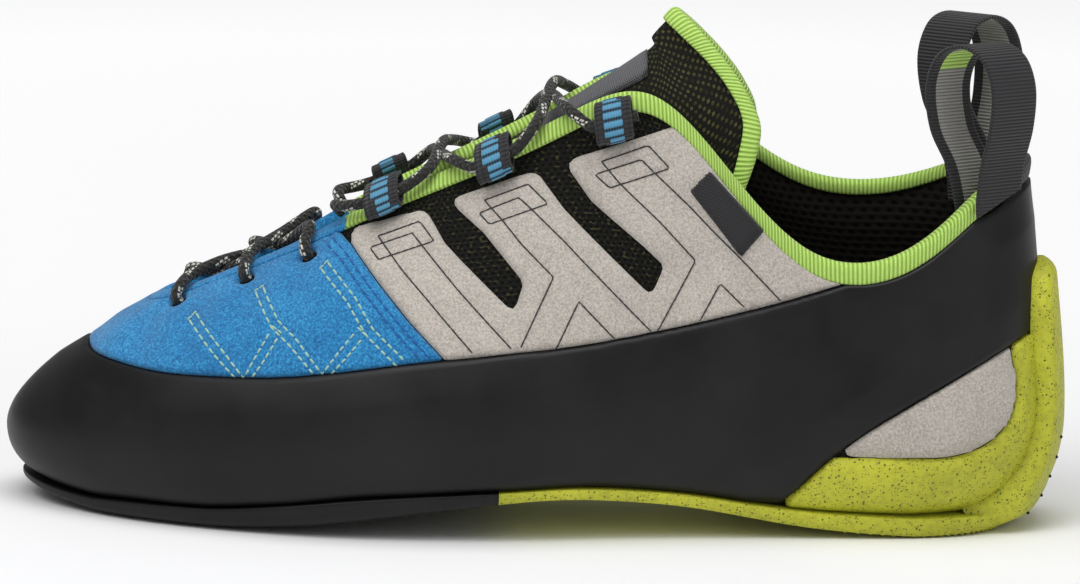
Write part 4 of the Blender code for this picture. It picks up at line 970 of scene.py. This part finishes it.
tape = folded("collar_tape", *rim_net(900), TAPE_SECTION, "collar_binding")
for material in (BLUE_SUEDE, BLACK_WEBBING):
    tape.data.materials.append(material)
for polygon in tape.data.polygons:
    if polygon.center.x < -49.0 * MM:
        polygon.material_index = 1
    elif polygon.center.x > 117.0 * MM:
        polygon.material_index = 2


# Tongue.
# A padded mesh tongue, taped round its free end, with a plain woven label.
BINDING_THICKNESS = 0.9 * MM
TONGUE_THICKNESS = 2.4 * MM

TONGUE_TABLE = (
    # station of the rim, how far the middle stands above the edges of the slit
    (2.0, 0.5 * MM), (3.0, 1.0 * MM), (4.0, 1.5 * MM), (5.0, 2.0 * MM), (6.0, 2.5 * MM), (7.0, 3.5 * MM),
    (8.0, 6.5 * MM), (9.0, 13.0 * MM),
)
TONGUE_TOP_TABLE = (
    # two free sections of the tongue's top: edge, shoulder, crown and middle, each (x, y, z) in shares of INSTEP_HEIGHT
    ((0.388, 0.160, 0.775), (0.385, 0.148, 0.945), (0.325, 0.086, 1.047), (0.255, 0.0, 1.109)),
    ((0.460, 0.156, 0.783), (0.490, 0.147, 0.931), (0.408, 0.088, 1.067), (0.306, 0.0, 1.166)),
)


def dashed_mesh(name, yarn, fleck):
    """Knit with staggered columns of short raised dashes in another yarn."""
    material, tree, surface = shader(name, yarn, 0.9, sheen=0.02, gloss=0.12)
    along, across = cloth_way(tree, 2.3 * MM, 1.15 * MM)
    x = ((along + across.step("FLOOR") * 0.5).step("FRACT") - 0.5).step("ABSOLUTE")
    y = (across.step("FRACT") - 0.5).step("ABSOLUTE")
    dash = (x < 0.16) * (y < 0.36)
    worn = ramp(noise(coordinates(tree), 420.0, 3.0), (0.36, 0.1), (0.58, 1.0))
    feed(surface.inputs["Base Color"], mixed(dash * worn, yarn, fleck))
    bumped(surface, (dash, 0.6, 0.4 * MM), (x, 0.5, 0.5 * MM), (noise(coordinates(tree), 1300.0, 2.0), 0.5, 0.3 * MM))
    return material


TONGUE_MESH = dashed_mesh("tongue_mesh", (0.008, 0.008, 0.0065), (0.075, 0.070, 0.026))
GREY_LABEL = ribbed("grey_label", (0.115, 0.115, 0.125), (0.07, 0.07, 0.078), 0.6 * MM, 0.9 * MM)


def tongue_grid(steps):
    deep = UPPER_WALL + 2 * CLEARANCE + BINDING_THICKNESS + 0.5 * MM
    rows = []
    for station, arch in TONGUE_TABLE:
        near, far = [], []
        for down in (15.0 * MM, 9.0 * MM, 3.0 * MM):
            for side, line in ((-1, near), (1, far)):
                here, normal, rising, along = wall_place(station if side < 0 else ROUND - station, down)
                line.append(here - normal * deep)
        middle = (near[2] + far[2]) / 2 + WORLD_UP * arch
        rows.append(near + [middle] + far[::-1])
    front = np.array(rows[0])
    centre = front[:, 1].mean()
    tip = front * (1.0, 0.62, 1.0) + (-11.0 * MM, 0.38 * centre, -6.5 * MM)
    rows.insert(0, list(tip))
    for section in TONGUE_TOP_TABLE:
        half_row = np.array(section) * INSTEP_HEIGHT
        rows.append([p * (1, -1, 1) for p in half_row[:3]] + [half_row[3]] + [p for p in half_row[:3][::-1]])
    rows = soften(np.array(rows), steps)
    columns = soften(np.swapaxes(rows, 0, 1), steps)
    return np.swapaxes(columns, 0, 1)


TONGUE = tongue_grid(8)
TONGUE_NORMAL = unit(np.cross(np.gradient(TONGUE, axis=0), np.gradient(TONGUE, axis=1)))


def rework(item, step):
    """Change a piece's mesh by one step of the mesh editor."""
    work = bmesh.new()
    work.from_mesh(item.data)
    step(work)
    work.to_mesh(item.data)
    work.free()


def slab_sheet(name, grid, normal, thickness, material, node, radius=0.5 * MM):
    """A thin slab with rounded edges: its front sheet rolls over its border to the back."""
    count, rows = grid.shape[:2]
    down, across = run_along(grid[:, rows // 2]), run_along(grid[count // 2])
    edge = np.minimum(np.minimum(down, down[-1] - down)[:, None], np.minimum(across, across[-1] - across)[None, :])
    swell = thickness / 2 * rounded(edge, radius)
    vertices = np.vstack([(grid + normal * lift[:, :, None]).reshape(-1, 3) for lift in (swell, -swell)])
    faces = grid_faces(count, rows) + grid_faces(count, rows, turned=True, start=count * rows)
    long_way = np.array([run_along(line) for line in np.swapaxes(grid, 0, 1)]).T
    cross_way = np.array([run_along(line) for line in grid])
    cross_way -= cross_way[:, rows // 2][:, None]
    flat = np.stack([long_way, cross_way], axis=-1).reshape(-1, 2)
    item = place(name, vertices, faces, material, node, np.vstack([flat, flat]))
    rework(item, lambda work: bmesh.ops.remove_doubles(work, verts=work.verts, dist=0.00001))
    return item


slab_sheet("tongue_mesh", TONGUE - TONGUE_NORMAL * (TONGUE_THICKNESS / 2), TONGUE_NORMAL, TONGUE_THICKNESS, TONGUE_MESH,
           "tongue", 1.2 * MM)
tongue_end = (TONGUE[-1], TONGUE_NORMAL[-1], unit(TONGUE[-1] - TONGUE[-4]))
end_line, end_normal, end_up = (soften(row[::4], 24) for row in tongue_end)
end_section = [(offset if offset > -1.6 else offset - 0.25, up * (0.85 if up < 0 else 1.0))
               for offset, up in TAPE_SECTION]
folded("tongue_tape", end_line, unit(end_normal), unit(end_up), end_section, "tongue_binding", closed=False)
middle = TONGUE.shape[1] // 2
label = (slice(53, 65), slice(middle - 4, middle + 5))
slab_sheet("tongue_label_cloth", TONGUE[label] + TONGUE_NORMAL[label] * 0.35 * MM, TONGUE_NORMAL[label], 0.5 * MM,
           GREY_LABEL, "tongue_label", 0.2 * MM)


# Lace loops.
# Black webbing folded round the lace, with a ribbed blue stripe along its
# middle.
WEBBING_THICKNESS = 1.0 * MM
STRIPE_HALF_WIDTH = 2.42 * MM
LOOP_HALF_HEIGHT = 5.6 * MM
LOOP_HALF_DEPTH = 3.1 * MM

LOOP_PLACES = (
    # along the shoe, how far down the wall from the rim
    (-0.1341 * LENGTH, 3.2 * MM), (-0.0355 * LENGTH, 4.2 * MM), (0.0696 * LENGTH, 6.8 * MM),
)

BLUE_WEBBING = ribbed("blue_webbing", (0.085, 0.28, 0.44), (0.003, 0.010, 0.018), 1.9 * MM, 0.7 * MM, 0.16)


def loop_place(place_of, side):
    x, down = place_of
    here, normal, rising, along = wall_place(rim_station(x, side), down)
    along = along * (1 if along[0] > 0 else -1)
    centre = here + normal * (2 * CLEARANCE + VAMP_THICKNESS + 3.2 * MM)
    return centre, normal, rising, along


def turn_outward(item):
    """Turn every face of a closed piece outward."""
    rework(item, lambda work: bmesh.ops.recalc_face_normals(work, faces=work.faces))


def lace_loop(name, place_of, side, node):
    """A flat tube of webbing round the lace's way, thicker under its stripe."""
    centre, normal, rising, along = loop_place(place_of, side)
    around = 40
    spans = np.array([-4.8, -4.5, -2.5, -2.4, -1.2, 0.0, 1.2, 2.4, 2.5, 4.5, 4.8]) * MM
    thick = np.array([0.35, 1.0, 1.0, 1.25, 1.3, 1.3, 1.3, 1.25, 1.0, 1.0, 0.35])
    vertices, uv = [], []
    rows = len(spans)
    run = 2 * math.pi * 4.4 * MM
    for shell_side in (0, 1):
        for i in range(around):
            angle = 2 * math.pi * i / around
            for span, full in zip(spans, thick):
                wall_here = WEBBING_THICKNESS * full if shell_side == 0 else 0.0
                trim = WEBBING_THICKNESS - wall_here if shell_side == 0 else WEBBING_THICKNESS
                pinch = 1.0 + 0.25 * math.sin(angle)
                high = (LOOP_HALF_HEIGHT - trim) * math.cos(angle)
                out = (LOOP_HALF_DEPTH * (pinch if math.sin(angle) < 0 else 1.0) - trim) * math.sin(angle)
                if math.sin(angle) < -0.2:
                    out = max(out, -3.0 * MM)
                vertices.append(centre + along * span + rising * high + normal * out)
                uv.append((run * i / around, span + 0.01))
    total = around * rows
    faces = grid_faces(around, rows, closed=True, turned=True) + grid_faces(around, rows, closed=True, start=total)
    for i in range(around):
        low, high = i * rows, (i + 1) % around * rows
        faces.append((low, high, total + high, total + low))
        faces.append(tuple(corner + rows - 1 for corner in (high, low, total + low, total + high)))
    item = place(name, vertices, faces, BLACK_WEBBING, node, uv)
    item.data.materials.append(BLUE_WEBBING)
    for polygon in item.data.polygons:
        reach = [np.dot(np.array(item.data.vertices[v].co) - centre, along) for v in polygon.vertices]
        if abs(np.mean(reach)) < STRIPE_HALF_WIDTH:
            polygon.material_index = 1
    turn_outward(item)


for number, place_of in enumerate(LOOP_PLACES):
    for side, word in ((-1, "outer"), (1, "inner")):
        lace_loop("loop_%d_%s" % (number + 1, word), place_of, side, "lace_loop_%d_%s_side" % (number + 1, word))


# Lace.
# One round plaited lace. Each strand is a cord between the holes and loops
# that hide its ends.
LACE_WIDTH = 3.2 * MM
# Where the lace dips under the throat's edge, along the shoe, and how far from a loop it crosses over the edge
FIRST_DIP = -0.2717 * LENGTH
SECOND_DIP = -0.1820 * LENGTH
OVER_EDGE_STEP = 0.0399 * LENGTH


def braid(name, dark, pale):
    """Round lace: plaited yarns, with pairs of pale ones coming up along it."""
    material, tree, surface = shader(name, dark, 0.75, sheen=0.2)
    way, turn = cloth_way(tree, 1.0, 1.0)
    along = way * (1.0 / (2.1 * MM))
    left = ((along + turn * 4.0) * (2 * math.pi)).step("SINE")
    right = ((along - turn * 4.0) * (2 * math.pi)).step("SINE")
    stretch = (way * (1.0 / (8.8 * MM))).step("FRACT") < 0.50
    band = (turn * 2.0 + way * (1.0 / (17.6 * MM))).step("FRACT")
    lane = band * 5.0
    across = (lane.step("FRACT") - 0.5).step("ABSOLUTE")
    step = way * (1.0 / (1.45 * MM)) + lane.step("FLOOR") * 0.5
    length = (step.step("FRACT") - 0.5).step("ABSOLUTE")
    feed(surface.inputs["Base Color"], mixed(stretch * (band < 0.40) * ((across < 0.33) * (length < 0.34)), dark, pale))
    bumped(surface, (left.step("MAXIMUM", right), 0.7, 0.4 * MM),
           (noise(coordinates(tree), 1800.0, 2.0), 0.3, 0.1 * MM))
    return material


LACE = braid("black_lace", (0.012, 0.012, 0.010), (0.62, 0.62, 0.54))


def cord_mesh(name, strands, node, radius=LACE_WIDTH / 2 - 0.12 * MM, around=14):
    """Round cords along rows of points, closed at their ends."""
    vertices, faces, uv = [], [], []
    for points in strands:
        points = np.array(points)
        steps = unit(np.gradient(points, axis=0))
        run = run_along(points)
        side = unit(np.cross(steps[0], WORLD_UP))
        start = len(vertices)
        for n, (point, step) in enumerate(zip(points, steps)):
            side = unit(side - step * np.dot(side, step))
            lift = np.cross(step, side)
            for i in range(around + 1):
                angle = 2 * math.pi * i / around
                vertices.append(point + (side * math.cos(angle) + lift * math.sin(angle)) * radius)
                uv.append((run[n], i / around))
        ring = around + 1
        faces += grid_faces(len(points), ring, turned=True, start=start)
        for j, turned in ((0, True), (len(points) - 1, False)):
            loop = [start + j * ring + i for i in range(around)]
            faces.append(tuple(loop[::-1]) if turned else tuple(loop))
    turn_outward(place(name, vertices, faces, LACE, node, uv))


def hole_start(number, side):
    x, down = LACE_HOLES[number]
    station = rim_station(x, side)
    here, normal, rising, along = wall_place(station, down)
    edge, edge_normal, edge_rising, edge_along = wall_place(station, 0.0)
    over = CLEARANCE * 2 + VAMP_THICKNESS + LACE_WIDTH / 2
    return [here + normal * 0.5 * MM, here + normal * 2.4 * MM, here + normal * (over + 0.2 * MM) + rising * 3.0 * MM,
            edge + edge_normal * (over + 0.1 * MM) + edge_rising * 0.5 * MM]


def under_edge(x, side):
    edge, normal, rising, along = wall_place(rim_station(x, side), 0.0)
    return edge + rising * (CLEARANCE * 2 + BINDING_THICKNESS + LACE_WIDTH / 2 + 0.4 * MM) + normal * 0.6 * MM


def over_edge(x, side):
    edge, normal, rising, along = wall_place(rim_station(x, side), 0.0)
    return edge + normal * (CLEARANCE * 2 + BINDING_THICKNESS + LACE_WIDTH / 2 + 0.6 * MM) + rising * 1.4 * MM


def loop_exit(place_of, side, way):
    centre, normal, rising, along = loop_place(place_of, side)
    return [centre + along * way * far for far in (0.2 * MM, 2.5 * MM, 4.8 * MM, 6.2 * MM)]


def curve(first, second, third, last, steps):
    """A smooth line from first to last that leaves toward second and arrives from third."""
    t = np.linspace(0, 1, steps)[:, None]
    return (1 - t) ** 3 * first + 3 * (1 - t) ** 2 * t * second + 3 * (1 - t) * t**2 * third + t**3 * last


def crossed(number, first, second, lift, gap=1.3 * MM):
    strands = []
    for points, height in ((first, lift + gap), (second, lift - gap)):
        start, end = points
        middle_point = (start[-1] + end[0]) / 2 + WORLD_UP * height
        strands.append(soften(start + [middle_point] + end, 9))
    cord_mesh("lace_%d" % number, strands, "lace_crossing_%d" % number)


for word, side in (("outer", -1), ("inner", 1)):
    edge = under_edge(SECOND_DIP, side)
    lift_way = wall_place(rim_station(SECOND_DIP, side), 0.0)[1]
    centre, normal, rising, along = loop_place(LOOP_PLACES[0], side)
    run = curve(edge, edge + lift_way * 7.0 * MM, centre - along * 14.0 * MM, centre - along * 0.2 * MM, 36)
    cord_mesh("lace_lead_" + word, [run], "lace_lead_%s_side" % word)
    cord_mesh("lace_tail_" + word, [soften(loop_exit(LOOP_PLACES[2], side, 1), 6)], "lace_end_%s_side" % word)
crossed(1, (hole_start(0, -1), [under_edge(FIRST_DIP, 1)]),
        (hole_start(0, 1), [under_edge(FIRST_DIP, -1)]), -0.6 * MM)
crossed(2, (hole_start(1, -1), hole_start(2, 1)[::-1]), (hole_start(1, 1), hole_start(2, -1)[::-1]), -1.4 * MM)
for number, lift in ((0, 1.4 * MM), (1, 3.6 * MM)):
    pair = []
    for side in (-1, 1):
        start, stop = LOOP_PLACES[number], LOOP_PLACES[number + 1]
        first = loop_exit(start, side, 1) + [over_edge(start[0] + OVER_EDGE_STEP, side)]
        second = [over_edge(stop[0] - OVER_EDGE_STEP, -side)] + loop_exit(stop, -side, -1)[::-1]
        pair.append((first, second))
    crossed(number + 3, pair[0], pair[1], lift)


# Pull loops and side tab.
# Two woven bands stand at the back of the collar. The reverse is pale, with a
# bit of lime near the top. A folded cloth tab sits on the outer quarter.
TAB_THICKNESS = 0.6 * MM
SIDE_TAB_LINE = ((0.161, 0.832), (0.142, 0.787), (0.192, 0.640), (0.214, 0.699))

PULL_LOOP_TABLE = (
    # The band's path from its outer foot to its inner foot: out from the rim, up from it, down the wall, back along it
    (3.4, 0.0, 11.0, 0.0), (3.2, 0.0, 4.0, 0.0), (4.2, 6.0, 0.0, 0.0), (7.2, 16.0, 0.0, 0.0), (8.8, 26.5, 0.0, -1.0),
    (6.6, 34.4, 0.0, -2.8), (0.6, 37.6, 0.0, -5.0), (-5.8, 35.0, 0.0, -7.2), (-9.4, 26.5, 0.0, -8.0),
    (-9.6, 15.0, 0.0, -6.0), (-7.4, 5.0, 0.0, -2.0), (-6.6, 0.0, 5.0, 0.0), (-6.6, 0.0, 12.0, 0.0),
)
PULL_LOOP_WIDTH = 15.0 * MM
PULL_LOOP_PLACE = 0.4203 * LENGTH
LOOP_WEBBING = ribbed("loop_webbing", (0.026, 0.026, 0.029), (0.009, 0.009, 0.010), 0.9 * MM)
PALE_WEBBING = ribbed("pale_webbing", (0.34, 0.33, 0.31), (0.17, 0.165, 0.155), 0.9 * MM)
BLACK_LABEL = ribbed("black_label", (0.020, 0.020, 0.023), (0.010, 0.010, 0.012), 0.5 * MM, 0.9 * MM)


def trimmed_foot(work):
    """Cut a band off along the top of the heel's rubber."""
    low, high = in_metres(RAND_TOP_LINE)[-4], in_metres(RAND_TOP_LINE)[-2]
    trim_way = unit(np.array([low[1] - high[1], 0.0, high[0] - low[0]]))
    bmesh.ops.bisect_plane(work, geom=work.verts[:] + work.edges[:] + work.faces[:], dist=1e-6,
                           plane_co=(low[0], 0.0, low[1]), plane_no=tuple(trim_way), clear_inner=True)


for word, side in (("outer", -1), ("inner", 1)):
    station = rim_station(PULL_LOOP_PLACE, side)
    path = []
    for out, up, down, back in PULL_LOOP_TABLE:
        here, normal, rising, along = wall_place(station, down * MM)
        level = unit(np.array([normal[0], normal[1], 0.0]))
        heelward = unit(np.array([abs(along[0]), along[1] * np.sign(along[0]), 0.0]))
        path.append(here + level * out * MM + WORLD_UP * up * MM + heelward * back * MM)
    path = soften(path, 9)
    width = unit(np.array([along[0], along[1], 0.0])) * PULL_LOOP_WIDTH / 2
    out = unit(np.cross(np.gradient(path, axis=0), width))
    shares = np.array([-1.0, -0.97, -0.9, -0.6, -0.3, 0.0, 0.3, 0.6, 0.9, 0.97, 1.0])
    band = path[:, None] + width[None, None, :] * shares[None, :, None] + out[:, None] * (WEBBING_THICKNESS / 2)
    strap = slab_sheet("pull_loop_" + word, band, np.repeat(out[:, None], len(shares), axis=1),
                       WEBBING_THICKNESS * 1.05, LOOP_WEBBING, "pull_loop_%s_side" % word, 0.45 * MM)
    for material in (PALE_WEBBING, LIME_TAPE):
        strap.data.materials.append(material)
    middle_of_loop = np.mean(path, axis=0) + CENTRED
    wide_way = unit(width)
    top = path[:, 2].max()
    for polygon in strap.data.polygons:
        spot = np.array(polygon.center)
        inward = np.dot(np.array(polygon.normal), unit(middle_of_loop - spot))
        nearest = path[np.argmin(np.linalg.norm(path + CENTRED - spot, axis=1))] + CENTRED
        if inward > 0.3 and abs(np.dot(spot - nearest, wide_way)) < 0.6 * PULL_LOOP_WIDTH / 2:
            near_top = spot[2] > top - 7.5 * MM and (spot[1] - middle_of_loop[1]) * side < 2.0 * MM
            polygon.material_index = 2 if near_top else 1
    rework(strap, trimmed_foot)

tab_line = in_metres(SIDE_TAB_LINE)
tab_field = np.where(NET[:, :, 1] < 0, inside(XZ, tab_line), -1.0)
tab_under = CLEARANCE + PANEL_THICKNESS - 0.2 * MM
cover("side_tab_cloth", tab_field, tab_under, 2 * CLEARANCE + PANEL_THICKNESS + TAB_THICKNESS - tab_under, 0.5 * MM,
      BLACK_LABEL, "side_tab")


# Stitches.
# Short threads pressed into the suede along the lines of the panels, cast on
# to the surface from the side.
def thread(name, rgb):
    material, tree, surface = shader(name, rgb, 0.6, sheen=0.1)
    bumped(surface, (noise(coordinates(tree), 2500.0, 2.0), 0.3, 0.1 * MM))
    return material


YELLOW_THREAD = thread("yellow_thread", (0.34, 0.55, 0.44))
BLACK_THREAD = thread("black_thread", (0.030, 0.030, 0.030))
BLUE_THREAD = thread("blue_thread", (0.010, 0.10, 0.34))
bpy.context.view_layer.update()


def surface_of(*names):
    vertices, faces = [], []
    for name in names:
        mesh = bpy.data.objects[name].data
        start = len(vertices)
        vertices += [v.co.copy() for v in mesh.vertices]
        faces += [tuple(start + v for v in p.vertices) for p in mesh.polygons]
    return BVHTree.FromPolygons(vertices, faces)


# Rings along one stitch: at its start, middle or end, share of its full radius, how far out of the suede in millimetres
STITCH_RINGS = ((0, 0.45, -0.30), (0, 0.9, 0.02), (1, 1.0, 0.16), (2, 0.9, 0.02), (2, 0.45, -0.30))


def stitch_run(tree, line, side, pitch, length, radius, vertices, faces):
    """Lay stitches end to end along a line of (x, z) points in millimetres."""
    line = np.array(line, float) * MM
    run = run_along(line)
    far = 0.5 * pitch
    while far + length / 2 < run[-1]:
        ends = []
        for stop in (far - length / 2, far, far + length / 2):
            x, z = np.interp(stop, run, line[:, 0]), np.interp(stop, run, line[:, 1])
            hit, normal, index, away = tree.ray_cast(Vector((x, side * 0.12, z)), Vector((0, -side, 0)))
            if hit is not None:
                ends.append((np.array(hit), np.array(normal if normal.y * side > 0 else -normal)))
        if len(ends) == 3 and np.linalg.norm(ends[0][0] - ends[2][0]) < length * 3:
            axis = unit(ends[2][0] - ends[0][0])
            normal = unit(ends[1][1])
            across = unit(np.cross(axis, normal))
            start = len(vertices)
            for share, full, sunk in STITCH_RINGS:
                centre = ends[share][0] + normal * sunk * MM
                for i in range(6):
                    angle = 2 * math.pi * i / 6
                    vertices.append(centre + (across * math.cos(angle) + normal * math.sin(angle)) * radius * full)
            for low in range(start, start + 24, 6):
                for i in range(6):
                    k = (i + 1) % 6
                    faces.append((low + i, low + k, low + 6 + k, low + 6 + i))
        far += pitch


def beside_line(line, distance):
    """A line that runs a distance to the left of another."""
    line = np.array(line, float)
    steps = unit(np.diff(line, axis=0))
    sides = np.column_stack([-steps[:, 1], steps[:, 0]])
    return line + unit(np.vstack([sides[:1], sides[:-1] + sides[1:], sides[-1:]])) * distance


for side, word in ((-1, "outer"), (1, "inner")):
    suede_tree = surface_of("vamp_suede")
    panel_tree = surface_of("quarter_" + word)
    vertices, faces = [], []
    for line in EMBROIDERY:
        for away in (-ROW_HALF_GAP, ROW_HALF_GAP):
            stitch_run(suede_tree, beside_line(line, away), side, 2.0 * MM, 1.35 * MM, 0.29 * MM, vertices, faces)
        for end in (0, -1):
            closing = [beside_line(line, away)[end] for away in (-1.6, 1.6)]
            stitch_run(suede_tree, closing, side, 1.6 * MM, 1.3 * MM, 0.25 * MM, vertices, faces)
    place("embroidery_" + word, vertices, faces, YELLOW_THREAD, centred=0.0)
    vertices, faces = [], []
    for away in (-2.1, -4.0):
        stitch_run(suede_tree, beside_line(SEAM / MM, away), side, 2.2 * MM, 1.7 * MM, 0.24 * MM, vertices, faces)
    place("seam_stitches_" + word, vertices, faces, BLUE_THREAD, centred=0.0)
    vertices, faces = [], []
    for line in PANEL_STITCHES:
        stitch_run(panel_tree, line, side, 2.0 * MM, 1.94 * MM, 0.21 * MM, vertices, faces)
    place("panel_stitches_" + word, vertices, faces, BLACK_THREAD, centred=0.0)


# Insole.
# A thin sheet faced with the lining's cloth, which lies in the bottom of the
# shoe. Its solid is right as it is and gets the lining's look.
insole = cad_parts["insole"]
insole.data.materials.clear()
insole.data.materials.append(LINING)


# Room, light and camera.
# A pale floor under soft light from above and the left, and a long lens from
# the outer side, ten degrees up. The floor glows more the further it lies from
# the shoe: painted light, which leaves painted shade round the shoe.
bpy.ops.mesh.primitive_plane_add(size=8.0, location=(0, 0, 0))
floor = bpy.context.object
floor.name = "floor"
material, tree, surface = shader("floor_with_painted_glow", (0.93, 0.93, 0.94), 0.6, gloss=0.1)
# Painted light: the floor glows, not at all within 0.16 m of its middle and up to 0.36 at 0.95 m, so the far floor
# turns white and the floor round the shoe stays darker as painted shade.
far = tree.nodes.new("ShaderNodeVectorMath")
far.operation = "LENGTH"
feed(far.inputs[0], Signal(tree, tree.nodes.new("ShaderNodeTexCoord").outputs["Object"]))
feed(surface.inputs["Emission Color"], ramp(Signal(tree, far.outputs["Value"]), (0.16, 0.0), (0.36, 0.12),
                                            (0.95, 0.36)))
surface.inputs["Emission Strength"].default_value = 1.0
floor.data.materials.append(material)


def lamp(name, stand, aim, size, power):
    data = bpy.data.lights.new(name, "AREA")
    data.size = size
    data.energy = power
    item = bpy.data.objects.new(name, data)
    item.location = stand
    item.rotation_euler = (Vector(aim) - Vector(stand)).to_track_quat("-Z", "Y").to_euler()
    bpy.context.scene.collection.objects.link(item)


lamp("key", (-0.7, -1.0, 1.5), (0, 0, 0.04), 1.1, 12.5)
lamp("fill", (1.2, -1.2, 0.8), (0, 0, 0.05), 1.2, 3.6)
lamp("top", (0.0, -0.25, 1.6), (0, 0, 0.04), 1.3, 16)
scene = bpy.context.scene
world = bpy.data.worlds.new("room")
world.use_nodes = True
for key, value in (("Color", (1.0, 1.0, 1.0)), ("Strength", 0.30)):
    feed(world.node_tree.nodes["Background"].inputs[key], value)
scene.world = world
scene.view_settings.view_transform = "Standard"
scene.view_settings.look = "None"
scene.view_settings.exposure = 0.0

lens_data = bpy.data.cameras.new("camera")
camera = bpy.data.objects.new("camera", lens_data)
scene.collection.objects.link(camera)
scene.camera = camera
PICTURE_WIDTH = 1080.0 / 3.926 * MM  # what the picture takes in from side to side, where the camera aims
AIM = Vector((1.15 * MM, -24.0 * MM, 62.1 * MM))
RISE = math.radians(10.0)
REACH = 1.4
camera.location = AIM + Vector((0, -math.cos(RISE), math.sin(RISE))) * REACH
look = (AIM - camera.location).to_track_quat("-Z", "Y").to_matrix().to_4x4()
TILT = math.radians(1.1)
camera.matrix_world = Matrix.Translation(camera.location) @ look @ Matrix.Rotation(TILT, 4, "Z")
lens_data.sensor_width = 36.0
lens_data.lens = 36.0 * REACH / PICTURE_WIDTH
lens_data.clip_start = 0.05
